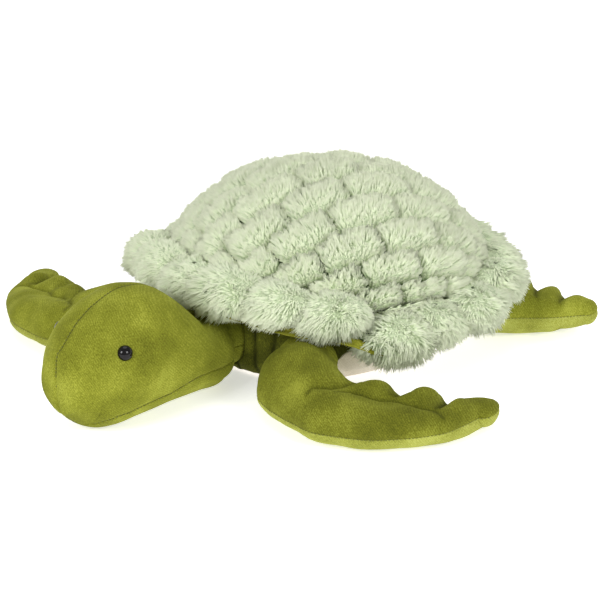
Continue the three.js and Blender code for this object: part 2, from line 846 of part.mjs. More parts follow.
const olive = new THREE.MeshStandardMaterial({ color: '#828628', roughness: 0.85 });
const cream = new THREE.MeshStandardMaterial({ color: '#e1d7c8', roughness: 0.9 });
const fur = new THREE.MeshStandardMaterial({ color: '#bed0a8', roughness: 0.95 });
const fibre = new THREE.MeshStandardMaterial({ color: '#f2f1ec', roughness: 0.95 });
const gloss = new THREE.MeshStandardMaterial({ color: '#0b0b0c', roughness: 0.12 });
const nylon = new THREE.MeshStandardMaterial({ color: '#e8e8e4', roughness: 0.5 });

const turtle = new THREE.Group();

function place(name, solid, material, parent = turtle) {
  const mesh = new THREE.Mesh(geometryOf(solid), material);
  mesh.name = name;
  parent.add(mesh);
}

// A group about a root's centre, turned as the limb lies at rest
function limbGroup(centre, yaw) {
  const group = new THREE.Group();
  group.position.copy(centre);
  group.rotation.z = yaw;
  turtle.add(group);
  return group;
}

const torso = torsoParts();
place('belly_panel', torso.belly, cream);
place('body_side_panel', torso.side, olive);
place('body_stuffing', torso.stuffing, fibre);
place('shell_lining', torso.lining, olive);
place('shell_rim', torso.rim, fur);
place('shell_fur_cover', torso.cover, fur);

const head = headParts();
const headGroup = limbGroup(neckCentre, 0);
place('head_panel_left', head.left, olive, headGroup);
place('head_panel_right', head.right, olive, headGroup);
place('head_gusset', head.gusset, olive, headGroup);
place('head_stuffing', head.stuffing, fibre, headGroup);
place('neck_wadding', ball(neckWaddingRadius, waddingSides), fibre, headGroup);
for (const [k, name] of ['left', 'right'].entries()) {
  place(`eye_${name}`, eye(head.seats[k]), gloss, headGroup);
  place(`eye_washer_${name}`, eyeWasher(head.seats[k]), nylon, headGroup);
}

for (const [side, name] of [[1, 'left'], [-1, 'right']]) {
  const yaw = side > 0 ? 0 : farFlipperYaw;
  const fore = flipperParts(front, frontShares, frontTipShares, side);
  const foreGroup = limbGroup(rootOf(front, side), yaw);
  place(`front_${name}_flipper_top`, fore.top, olive, foreGroup);
  place(`front_${name}_flipper_bottom`, fore.bottom, olive, foreGroup);
  place(`front_${name}_flipper_stuffing`, fore.stuffing, fibre, foreGroup);
  place(`shoulder_wadding_${name}`, ball(front.waddingRadius, waddingSides), fibre, foreGroup);

  const hind = flipperParts(rear, rearShares, rearTipShares, side);
  const hindGroup = limbGroup(rootOf(rear, side), 0);
  place(`rear_${name}_flipper_top`, hind.top, olive, hindGroup);
  place(`rear_${name}_flipper_bottom`, hind.bottom, olive, hindGroup);
  place(`rear_${name}_flipper_stuffing`, hind.stuffing, fibre, hindGroup);
}

export default turtle;
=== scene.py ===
"""Looks of a plush sea turtle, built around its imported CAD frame.

The toy is a stuffed sea turtle lying on its belly: a domed back of long pale sage fur sewn in
brick-like tiles, a thick tufted fur rim, olive velvet plush on head, sides and flippers, a cream
belly and glossy black safety eyes. Everything is in metres in the frame of the CAD model: the
floor at z = 0, the head toward -Y and the animal's left side toward +X.
"""

from __future__ import annotations

import logging
import math
from dataclasses import dataclass, field
from enum import Enum
from typing import ClassVar

import bpy
import numpy as np
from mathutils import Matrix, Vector

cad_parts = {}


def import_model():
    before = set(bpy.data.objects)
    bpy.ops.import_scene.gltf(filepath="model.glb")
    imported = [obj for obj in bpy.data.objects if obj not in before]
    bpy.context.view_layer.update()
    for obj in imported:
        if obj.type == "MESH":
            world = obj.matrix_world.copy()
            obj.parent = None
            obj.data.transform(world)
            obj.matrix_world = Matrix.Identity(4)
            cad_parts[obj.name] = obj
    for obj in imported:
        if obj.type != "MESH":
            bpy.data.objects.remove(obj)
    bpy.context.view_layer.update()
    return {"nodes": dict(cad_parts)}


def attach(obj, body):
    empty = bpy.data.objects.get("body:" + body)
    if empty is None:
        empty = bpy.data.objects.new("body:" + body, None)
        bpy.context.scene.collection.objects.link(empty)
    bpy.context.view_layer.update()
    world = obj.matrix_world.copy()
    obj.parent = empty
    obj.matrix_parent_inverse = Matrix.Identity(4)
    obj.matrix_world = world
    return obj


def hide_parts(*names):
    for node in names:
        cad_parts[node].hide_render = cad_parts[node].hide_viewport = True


log = logging.getLogger("plush_turtle")
MM = 0.001
TURN = 2 * math.pi
# How far apart the bands of a wave texture lie at a scale of one, in metres
STRAIGHT_BANDS = TURN / 20
DIAGONAL_BANDS = 0.36
# The point attribute that holds painted shade in folds and gathers
PAINTED_FOLD_SHADE = "folds"
# How far the flippers and the head stay off the floor, in millimetres
FLOOR_GAP = 0.2
Array = np.ndarray


class Side(Enum):
    """The animal's own left and right, with the sign of their X."""

    LEFT = 1
    RIGHT = -1


class Panel(Enum):
    """The two cloth panels of a flipper, with the ring angles that each spans."""

    TOP = (0.0, math.pi)
    BOTTOM = (math.pi, TURN)

    @property
    def rise(self) -> int:
        """Plus one for the panel that bulges up, minus one for the one that bulges down."""
        return 1 if self is Panel.TOP else -1


class Fold(Enum):
    """How a fold lies in a panel."""

    GROOVE = "sewn deep at its start, fading toward its end"
    CREASE = "sharp all along"
    SWELL = "a soft hollow, or a soft ridge where the depth is negative"


# Small tools for numbers


def linear(code: str) -> tuple[float, float, float, float]:
    """Turns an sRGB hex value to the linear colour that shaders use.

    Args:
        code: six hex digits with a leading hash.

    Returns:
        Red, green, blue and full opacity.
    """
    parts = [int(code[i : i + 2], 16) / 255 for i in (1, 3, 5)]
    low = [p / 12.92 if p <= 0.04045 else ((p + 0.055) / 1.055) ** 2.4 for p in parts]
    return (low[0], low[1], low[2], 1.0)


def through(rows: Array, at: Array) -> Array:
    """Reads a table of rows smoothly between them (a spline through every row).

    Args:
        rows: one row of values for each whole step.
        at: the steps to read, whole or not.

    Returns:
        One row of values for each step read.
    """
    rows = np.asarray(rows, float)
    last = len(rows) - 1
    i = np.clip(np.floor(at).astype(int), 0, last - 1)
    f = (at - i)[:, None]
    before, here = rows[np.maximum(i - 1, 0)], rows[i]
    then, after = rows[i + 1], rows[np.minimum(i + 2, last)]
    return 0.5 * (
        2 * here
        + (then - before) * f
        + (2 * before - 5 * here + 4 * then - after) * f**2
        + (3 * here - before - 3 * then + after) * f**3
    )


def unit(vectors: Array) -> Array:
    """Scales vectors to length one."""
    length = np.linalg.norm(vectors, axis=-1, keepdims=True)
    return vectors / np.maximum(length, 1e-12)


def cloud(points: Array, size: float, seed: int) -> Array:
    """Gives a smooth random value from -1 to 1 at each point.

    Args:
        points: places in metres.
        size: about how wide a blob is, in metres.
        seed: picks one pattern of many.

    Returns:
        One value for each point.
    """
    spot = points / size
    cell = np.floor(spot).astype(np.int64)
    part = spot - cell
    part = part * part * (3 - 2 * part)
    total = np.zeros(points.shape[:-1])
    for corner in range(8):
        step = np.array([corner & 1, corner >> 1 & 1, corner >> 2 & 1])
        x, y, z = np.moveaxis(cell + step, -1, 0)
        code = (x * 374761393 + y * 668265263 + z * 1442695041 + seed * 97531) & 0xFFFFFFFF
        code = ((code ^ (code >> 13)) * 1274126177) & 0xFFFFFFFF
        value = ((code ^ (code >> 16)) & 0xFFFF) / 32767.5 - 1
        weight = np.prod(np.where(step == 1, part, 1 - part), axis=-1)
        total += weight * value
    return total


def clouds(points: Array, size: float, *seeds: int) -> Array:
    """Gives one smooth random value at each point for each seed; see cloud."""
    return np.stack([cloud(points, size, seed) for seed in seeds], -1)


def from_front(angle: Array) -> Array:
    """Gives how far angles round the shell are from the front, either way."""
    return np.abs(np.arctan2(np.sin(angle), np.cos(angle)))


def shifted(values: Array, step: int, axis: int) -> Array:
    """Moves a grid's values along one axis and repeats its edge.

    Args:
        values: a grid of numbers.
        step: how many places they move.
        axis: 0 for the rows, 1 for the columns.

    Returns:
        The moved grid.
    """
    places = np.clip(np.arange(values.shape[axis]) + step, 0, values.shape[axis] - 1)
    return np.take(values, places, axis)


def lock_middles(roots: Array, tips: Array, size: float) -> Array:
    """Gathers strands into locks and gives each strand the middle of its lock's tips.

    Args:
        roots: where the strands start.
        tips: where they end.
        size: a lock's breadth, in metres.

    Returns:
        One point for each strand.
    """
    wander, blob = 0.4 * size, 1.5 * size
    spots = roots + wander * clouds(roots, blob, 61, 62, 63)
    _, lock = np.unique(np.floor(spots / size).astype(int), axis=0, return_inverse=True)
    lock = lock.ravel()
    count = np.bincount(lock)
    return np.stack([np.bincount(lock, tips[:, axis])[lock] / count[lock] for axis in range(3)], -1)


def near_line(points: Array, line: Array) -> tuple[Array, Array]:
    """Measures how far points in a plane are from a bent line.

    Args:
        points: places with two values each.
        line: the corners of the line.

    Returns:
        The distance, and how far along the line its nearest place is, from 0 to 1.
    """
    best = np.full(points.shape[:-1], np.inf)
    along = np.zeros(points.shape[:-1])
    lengths = np.linalg.norm(np.diff(line, axis=0), axis=1)
    done, whole = 0.0, lengths.sum()
    for start, end, length in zip(line[:-1], line[1:], lengths):
        share = np.clip((points - start) @ (end - start) / length**2, 0, 1)
        away = np.linalg.norm(points - start - share[..., None] * (end - start), axis=-1)
        closer = away < best
        best = np.where(closer, away, best)
        along = np.where(closer, (done + share * length) / whole, along)
        done += length
    return best, along


# Meshes


def mesh_piece(name: str, points: Array, faces: list | Array) -> bpy.types.Object:
    """Makes one smoothly shaded mesh object from points and faces.

    Args:
        name: the piece's name.
        points: places in metres.
        faces: the corners of each face, or an array of them.

    Returns:
        The new object, linked into the scene.
    """
    mesh = bpy.data.meshes.new(name)
    mesh.from_pydata(np.asarray(points).tolist(), [], [list(map(int, f)) for f in faces])
    mesh.validate()
    mesh.polygons.foreach_set("use_smooth", [True] * len(mesh.polygons))
    piece = bpy.data.objects.new(name, mesh)
    bpy.context.scene.collection.objects.link(piece)
    return piece


def paint_fold_shade(piece: bpy.types.Object, depth: Array) -> None:
    """Notes at each point how much painted shade it gets in folds, where the velvet's colour darkens.

    Args:
        piece: the piece of cloth.
        depth: the share of painted shade, from 0 on open cloth to 1 deep in a fold, one for each point.
    """
    noted = piece.data.attributes.new(PAINTED_FOLD_SHADE, "FLOAT", "POINT")
    noted.data.foreach_set("value", np.asarray(depth, dtype=np.float32).ravel())


def grid_faces(rows: int, columns: int, around: bool = False) -> Array:
    """Lists the four-cornered faces of a grid of points.

    Args:
        rows: how many rows of points.
        columns: how many points in a row.
        around: whether the last column joins the first.

    Returns:
        One row of four corners for each face.
    """
    r = np.arange(rows - 1)[:, None]
    c = np.arange(columns if around else columns - 1)[None, :]
    right = (c + 1) % columns
    corners = [r * columns + c, r * columns + right, (r + 1) * columns + right, (r + 1) * columns + c]
    return np.stack([np.broadcast_to(k, (rows - 1, c.shape[1])) for k in corners], -1).reshape(-1, 4)


def cap_faces(ring: int, count: int, middle: int, downward: bool = False) -> list:
    """Lists the three-cornered faces that close a ring of points round a middle point.

    Args:
        ring: the number of the ring's first point.
        count: how many points the ring has.
        middle: the number of the middle point.
        downward: whether the cap closes the bottom instead of the top.

    Returns:
        Three corners for each face.
    """
    pairs = [(ring + k, ring + (k + 1) % count) for k in range(count)]
    return [[middle, after, before] if downward else [middle, before, after] for before, after in pairs]


def joined(grids: list[tuple[Array, Array]]) -> tuple[Array, Array]:
    """Joins several grids into one mesh.

    Args:
        grids: the points of each grid, and its faces numbered from its own first point.

    Returns:
        All points and all faces.
    """
    starts = np.cumsum([0] + [points.size // 3 for points, _ in grids])
    faces = [found + start for (_, found), start in zip(grids, starts)]
    return np.concatenate([points.reshape(-1, 3) for points, _ in grids]), np.concatenate(faces)


def grid_normals(grid: Array, around: bool = False) -> Array:
    """Finds the outward direction at each point of a grid.

    Args:
        grid: points in rows and columns.
        around: whether the last column joins the first.

    Returns:
        A direction for each point, on the side where columns turn left from rows.
    """
    down = np.gradient(grid, axis=0)
    if around:
        across = (np.roll(grid, -1, 1) - np.roll(grid, 1, 1)) / 2
    else:
        across = np.gradient(grid, axis=1)
    return unit(np.cross(down, across))


def along_rows(grid: Array) -> tuple[Array, Array]:
    """Measures each point's distance along its row from the row's two ends.

    Args:
        grid: points in rows and columns.

    Returns:
        The distance from the first end and from the last.
    """
    steps = np.linalg.norm(np.diff(grid, axis=1), axis=-1)
    start = np.concatenate([np.zeros((len(grid), 1)), np.cumsum(steps, 1)], 1)
    return start, start[:, -1:] - start


def tucked(grid: Array, normals: Array, depth: float) -> Array:
    """Adds a column at both ends of each row that turns the cloth's edge in, as at a seam.

    Args:
        grid: points in rows and columns.
        normals: the outward direction at each point.
        depth: how far the edge goes in, in metres.

    Returns:
        The grid with two more columns.
    """
    first = grid[:, :1] - normals[:, :1] * depth + (grid[:, 1:2] - grid[:, :1]) * 0.5
    last = grid[:, -1:] - normals[:, -1:] * depth + (grid[:, -2:-1] - grid[:, -1:]) * 0.5
    return np.concatenate([first, grid, last], 1)


def cupped(points: Array, normals: Array, centre: Array, radius: float) -> Array:
    """Presses a hollow into a surface where a ball sits.

    Args:
        points: the surface.
        normals: its outward directions.
        centre: the ball's centre.
        radius: the ball's radius.

    Returns:
        The surface, moved in to the far side of the ball wherever it was inside it.
    """
    from_ball = points - centre
    outward = np.sum(from_ball * normals, -1)
    room = outward**2 - (np.sum(from_ball**2, -1) - radius**2)
    inside = np.sum(from_ball**2, -1) < radius**2
    travel = np.where(inside, outward + np.sqrt(np.maximum(room, 0)), 0)
    return points - normals * travel[..., None]


def stitch_line(name: str, path: Array, normals: Array) -> bpy.types.Object:
    """Lays short thread stitches end to end along a seam.

    Args:
        name: the piece's name.
        path: points along the seam.
        normals: the outward direction at each.

    Returns:
        One mesh with all the stitches.
    """
    pitch, length, thick, sink, sides = 3.0 * MM, 2.2 * MM, 0.42 * MM, 0.5 * MM, 6
    profile = [(-0.5, 0.05), (-0.42, 0.7), (0.0, 1.0), (0.42, 0.7), (0.5, 0.05)]
    travel = np.concatenate([[0], np.cumsum(np.linalg.norm(np.diff(path, axis=0), axis=1))])
    stitches = []
    for start in np.arange(pitch, travel[-1] - pitch, pitch):
        middle, ahead, out = (
            np.array([np.interp(place, travel, rows[:, k]) for k in range(3)])
            for place, rows in ((start, path), (start + MM, path), (start, normals))
        )
        run = unit(ahead - middle)
        side = unit(np.cross(run, out))
        out = np.cross(side, run)
        points = []
        for place, wide in profile:
            dip = -sink * (2 * place) ** 2
            for k in range(sides):
                turn = k / sides * TURN
                ring = (side * math.cos(turn) + out * math.sin(turn)) * thick * wide
                points.append(middle + run * place * length + out * dip + ring)
        stitches.append((np.array(points), grid_faces(len(profile), sides, around=True)))
    return mesh_piece(name, *joined(stitches))


# Finishes


def add_node(
    tree: bpy.types.NodeTree, kind: str, links: dict | None = None, **settings: object
) -> bpy.types.Node:
    """Adds one shader node with its settings and links.

    Args:
        tree: the material's node tree.
        kind: the node's type.
        links: for each input's name or number, a socket to link or a value to set.
        settings: the node's own settings.

    Returns:
        The new node.
    """
    node = tree.nodes.new(kind)
    for name, value in settings.items():
        setattr(node, name, value)
    for key, value in (links or {}).items():
        if isinstance(value, bpy.types.NodeSocket):
            tree.links.new(value, node.inputs[key])
        else:
            node.inputs[key].default_value = value
    return node


def set_stops(ramp: bpy.types.Node, stops: dict[float, str]) -> None:
    """Sets the colours of a colour ramp.

    Args:
        ramp: the ramp.
        stops: the sRGB hex value at each place from 0 to 1, in order.
    """
    places = list(stops)
    elements = ramp.color_ramp.elements
    elements[0].position, elements[-1].position = places[0], places[-1]
    for place in places[1:-1]:
        elements.new(place)
    for element, code in zip(elements, stops.values()):
        element.color = linear(code)


@dataclass(frozen=True)
class Finish:
    """A material made of shader nodes, and the record's slot that it fills."""

    name: str
    slot: str

    def material(self) -> bpy.types.Material:
        """Finds this finish's material, or makes it.

        Returns:
            The one material of this name.
        """
        found = bpy.data.materials.get(self.name)
        if found:
            return found
        made = bpy.data.materials.new(self.name)
        made.use_nodes = True
        made.node_tree.nodes.clear()
        shader = self.shade(made.node_tree)
        add_node(made.node_tree, "ShaderNodeOutputMaterial", {"Surface": shader.outputs[0]})
        return made

    def shade(self, tree: bpy.types.NodeTree) -> bpy.types.Node:
        """Builds the shader; each finish has its own."""
        raise NotImplementedError

    def dress(self, piece: bpy.types.Object) -> None:
        """Puts the finish on a piece.

        Args:
            piece: the piece, or a CAD node that stays.
        """
        piece.data.materials.clear()
        piece.data.materials.append(self.material())


@dataclass(frozen=True)
class VelvetPlush(Finish):
    """Short-pile polyester velvet: the nap lies in patches that catch the light or turn it away.

    Real ribs and grain are under a millimetre, and are drawn a little coarser so that they show.
    """

    # The colour of the painted shade deep in folds and gathers
    fold: str = "#23260A"
    dark: str = "#5C5F17"
    middle: str = "#7B7F25"
    light: str = "#A0A43F"
    patch: float = 32 * MM
    patch_share: float = 0.5
    grain: float = 1.2 * MM
    grain_share: float = 0.46
    rib: float = 1.5 * MM
    rib_share: float = 0.12
    # How strongly the painted fold shade darkens the colour
    fold_shade_share: float = -0.42
    shift: float = 2.3
    sheen: float = 0.35

    def shade(self, tree: bpy.types.NodeTree) -> bpy.types.Node:
        """Builds brushed patches, a fine tipped grain on the cloth's ribs, painted shade in the folds and a
        soft sheen.

        Args:
            tree: the material's node tree.

        Returns:
            The shader node.
        """
        place = add_node(tree, "ShaderNodeTexCoord").outputs["Object"]
        patches = add_node(
            tree,
            "ShaderNodeTexNoise",
            {"Vector": place, "W": self.shift, "Scale": 1 / self.patch, "Detail": 2.5, "Roughness": 0.55},
            noise_dimensions="4D",
        )
        rib_settings = {"Distortion": 5.0, "Detail": 2.0, "Detail Scale": 0.4}
        ribs = add_node(
            tree,
            "ShaderNodeTexWave",
            {"Vector": place, "Scale": DIAGONAL_BANDS / self.rib, **rib_settings},
            bands_direction="DIAGONAL",
        )
        grain = add_node(
            tree,
            "ShaderNodeTexNoise",
            {"Vector": place, "Scale": 1 / self.grain, "Detail": 2.0, "Roughness": 0.7},
        )
        fine = add_node(
            tree,
            "ShaderNodeMath",
            {0: ribs.outputs[1], 1: self.rib_share, 2: grain.outputs[0]},
            operation="MULTIPLY_ADD",
        )
        broad = add_node(
            tree, "ShaderNodeMath", {0: patches.outputs[0], 1: self.patch_share}, operation="MULTIPLY"
        )
        mixed = add_node(
            tree,
            "ShaderNodeMath",
            {0: fine.outputs[0], 1: self.grain_share, 2: broad.outputs[0]},
            operation="MULTIPLY_ADD",
        )
        # Painted shade: the colour darkens where the fold attribute is high
        folds = add_node(tree, "ShaderNodeAttribute", attribute_name=PAINTED_FOLD_SHADE)
        shaded = add_node(
            tree,
            "ShaderNodeMath",
            {0: folds.outputs["Fac"], 1: self.fold_shade_share, 2: mixed.outputs[0]},
            operation="MULTIPLY_ADD",
        )
        ramp = add_node(tree, "ShaderNodeValToRGB", {0: shaded.outputs[0]})
        set_stops(ramp, {0.06: self.fold, 0.36: self.dark, 0.51: self.middle, 0.66: self.light})
        relief = add_node(
            tree, "ShaderNodeBump", {"Height": fine.outputs[0], "Distance": 0.6 * MM, "Strength": 0.6}
        )
        return add_node(
            tree,
            "ShaderNodeBsdfPrincipled",
            {
                "Base Color": ramp.outputs[0],
                "Roughness": 0.95,
                "IOR": 1.45,
                "Specular IOR Level": 0.15,
                "Sheen Weight": self.sheen,
                "Sheen Roughness": 0.45,
                "Sheen Tint": linear(self.light),
                "Normal": relief.outputs[0],
            },
        )


@dataclass(frozen=True)
class LongPileFur(Finish):
    """Long silky acrylic pile: dark at the roots, pale and slightly yellow at the tips."""

    root: str = "#9BB084"
    middle: str = "#D2E3B9"
    tip: str = "#EDF3D6"

    def shade(self, tree: bpy.types.NodeTree) -> bpy.types.Node:
        """Builds a colour that runs along each strand and differs a little between strands.

        Args:
            tree: the material's node tree.

        Returns:
            The shader node.
        """
        place = add_node(tree, "ShaderNodeUVMap", uv_map="OFBake").outputs[0]
        parts = add_node(tree, "ShaderNodeSeparateXYZ", {0: place})
        ramp = add_node(tree, "ShaderNodeValToRGB", {0: parts.outputs["Y"]})
        set_stops(ramp, {0.0: self.root, 0.45: self.middle, 0.95: self.tip})
        tone = add_node(tree, "ShaderNodeMapRange", {0: parts.outputs["X"], 3: 0.80, 4: 1.10})
        shade = add_node(
            tree, "ShaderNodeHueSaturation", {"Color": ramp.outputs[0], "Value": tone.outputs[0]}
        )
        return add_node(
            tree,
            "ShaderNodeBsdfPrincipled",
            {
                "Base Color": shade.outputs[0],
                "Roughness": 0.7,
                "IOR": 1.5,
                "Specular IOR Level": 0.25,
                "Sheen Weight": 0.3,
                "Sheen Roughness": 0.5,
                "Sheen Tint": linear(self.tip),
            },
        )


@dataclass(frozen=True)
class WoollyUndercoat(Finish):
    """The short crimped pile between the long strands: soft, matt and a little darker."""

    tuft: float = 2 * MM
    hollow: str = "#A3B18D"
    middle: str = "#C2D0AB"
    light: str = "#D9E4C4"

    def shade(self, tree: bpy.types.NodeTree) -> bpy.types.Node:
        """Builds tangled short fibres in tufts.

        Args:
            tree: the material's node tree.

        Returns:
            The shader node.
        """
        place = add_node(tree, "ShaderNodeTexCoord").outputs["Object"]
        tufts = add_node(
            tree,
            "ShaderNodeTexNoise",
            {"Vector": place, "Scale": 1 / self.tuft, "Detail": 4.0, "Roughness": 0.65, "Distortion": 0.8},
        )
        ramp = add_node(tree, "ShaderNodeValToRGB", {0: tufts.outputs[0]})
        set_stops(ramp, {0.34: self.hollow, 0.50: self.middle, 0.68: self.light})
        relief = add_node(tree, "ShaderNodeBump", {"Height": tufts.outputs[0], "Distance": 1.5 * MM})
        return add_node(
            tree,
            "ShaderNodeBsdfPrincipled",
            {
                "Base Color": ramp.outputs[0],
                "Roughness": 0.95,
                "Specular IOR Level": 0.1,
                "Sheen Weight": 0.3,
                "Sheen Tint": linear(self.light),
                "Normal": relief.outputs[0],
            },
        )


@dataclass(frozen=True)
class TwoTone(Finish):
    """A finish that wavers between two tones; each kind says in what pattern and how it shines."""

    dark: ClassVar[str]
    light: ClassVar[str]
    scale: ClassVar[float]
    pattern: ClassVar[str] = "ShaderNodeTexNoise"
    settings: ClassVar[dict] = {"Detail": 2.0}
    relief: ClassVar[float] = 0.0
    shine: ClassVar[dict]

    def shade(self, tree: bpy.types.NodeTree) -> bpy.types.Node:
        """Builds the pattern, its two tones and, where the finish has any, its relief.

        Args:
            tree: the material's node tree.

        Returns:
            The shader node.
        """
        place = add_node(tree, "ShaderNodeTexCoord").outputs["Object"]
        found = add_node(tree, self.pattern, {"Vector": place, "Scale": self.scale, **self.settings})
        height = found.outputs["Fac"]
        colour = add_node(
            tree, "ShaderNodeMix", {0: height, 6: linear(self.dark), 7: linear(self.light)}, data_type="RGBA"
        )
        sockets = {"Base Color": colour.outputs[2], **self.shine}
        if self.relief:
            bump = add_node(tree, "ShaderNodeBump", {"Height": height, "Distance": self.relief})
            sockets["Normal"] = bump.outputs[0]
        return add_node(tree, "ShaderNodeBsdfPrincipled", sockets)


class KnittedBacking(TwoTone):
    """The knitted ground of the fur cloth, in ribs 2.8 mm apart, seen only deep between the tufts."""

    dark = "#66785A"
    light = "#8FA27C"
    scale = STRAIGHT_BANDS / (2.827 * MM)
    pattern = "ShaderNodeTexWave"
    settings = {"Distortion": 2.0}
    relief = 0.4 * MM
    shine = {"Roughness": 0.95}


class PolyesterFibre(TwoTone):
    """Crimped white polyester filling: matt, with loose fibres that scatter the light.

    Single fibres are too fine to show, so the tangle is drawn 3 mm wide.
    """

    dark = "#CFCFC8"
    light = "#F2F2ED"
    scale = 1 / (3 * MM)
    settings = {"Detail": 4.0, "Distortion": 1.5}
    relief = 1.5 * MM
    shine = {"Roughness": 0.9}


class MouldedNylon(TwoTone):
    """A moulded natural nylon washer: milky white with faint flow marks, 5 mm apart."""

    dark = "#D6D6CE"
    light = "#E8E8E3"
    scale = 1 / (5 * MM)
    shine = {"Roughness": 0.45, "IOR": 1.53}


class SewingThread(TwoTone):
    """Twisted polyester thread, sunk in the pile so that it reads as a dark dash.

    Its plies are too fine to show, and are drawn 1.5 mm apart.
    """

    dark = "#5A5D17"
    light = "#7C7F28"
    scale = STRAIGHT_BANDS / (1.508 * MM)
    pattern = "ShaderNodeTexWave"
    settings = {"Distortion": 1.0}
    shine = {"Roughness": 0.7}


class StudioPaper(TwoTone):
    """The seamless white paper under the toy, lit through from below: matt, with faint fibre.

    The fibre is drawn 2 mm wide so that it shows.
    """

    dark = "#F4F4F4"
    light = "#FBFBFB"
    scale = 1 / (2 * MM)
    shine = {"Roughness": 0.9, "Emission Color": linear("#FBFBFB"), "Emission Strength": 0.55}


@dataclass(frozen=True)
class PolishedAcrylic(Finish):
    """A moulded black eye, tumble polished: deep black with small sharp highlights."""

    black: str = "#0B0A0B"
    worn: str = "#161315"
    smear: float = 4 * MM

    def shade(self, tree: bpy.types.NodeTree) -> bpy.types.Node:
        """Builds a polished black with faint handling haze.

        Args:
            tree: the material's node tree.

        Returns:
            The shader node.
        """
        place = add_node(tree, "ShaderNodeTexCoord").outputs["Object"]
        haze = add_node(tree, "ShaderNodeTexNoise", {"Vector": place, "Scale": 1 / self.smear, "Detail": 3.0})
        colour = add_node(
            tree,
            "ShaderNodeMix",
            {0: haze.outputs[0], 6: linear(self.black), 7: linear(self.worn)},
            data_type="RGBA",
        )
        rough = add_node(tree, "ShaderNodeMapRange", {0: haze.outputs[0], 3: 0.05, 4: 0.10})
        return add_node(
            tree,
            "ShaderNodeBsdfPrincipled",
            {
                "Base Color": colour.outputs[2],
                "Roughness": rough.outputs[0],
                "IOR": 1.49,
                "Specular IOR Level": 0.3,
            },
        )


OLIVE = VelvetPlush("olive_velvet_plush", "olive_plush")
# A darker copy of the olive: painted shade for the near front flipper's top, under the rim
OLIVE_PAINTED_SHADE = VelvetPlush(
    "olive_velvet_painted_shade", "olive_plush", dark="#4B4E11", middle="#676A1C", light="#8D9134"
)
# A darker copy of the olive: painted deep shade for the side wall under the rim and head
OLIVE_PAINTED_DEEP_SHADE = VelvetPlush(
    "olive_velvet_painted_deep_shade", "olive_plush", dark="#2F320A", middle="#4A4D14", light="#6E7222"
)
# A lighter copy of the olive: painted light from the white floor on the flippers' undersides
OLIVE_PAINTED_FLOOR_LIGHT = VelvetPlush(
    "olive_velvet_painted_floor_light", "olive_plush", dark="#70742A", middle="#959940", light="#B3B75F"
)
LINING = VelvetPlush(
    "olive_lining_plush", "olive_plush", dark="#6E7020", middle="#8E902E", light="#AEAC44", patch=18 * MM
)
CREAM = VelvetPlush(
    "cream_velvet_plush", "cream_plush", dark="#CFC3B1", middle="#E1D7C8", light="#EEE7DC", sheen=0.3
)
FUR = LongPileFur("sage_long_pile", "sage_fur")
UNDERCOAT = WoollyUndercoat("sage_woolly_undercoat", "sage_fur")
BACKING = KnittedBacking("sage_knitted_backing", "sage_fur")
FIBRE = PolyesterFibre("polyester_filling", "fibre_fill")
EYE_BLACK = PolishedAcrylic("polished_black_acrylic", "black_gloss")
NYLON = MouldedNylon("moulded_nylon", "nylon_washer")
THREAD = SewingThread("olive_thread", "olive_plush")
PAPER = StudioPaper("white_studio_paper", "")


# The shell's plan, shared by the pieces that meet it


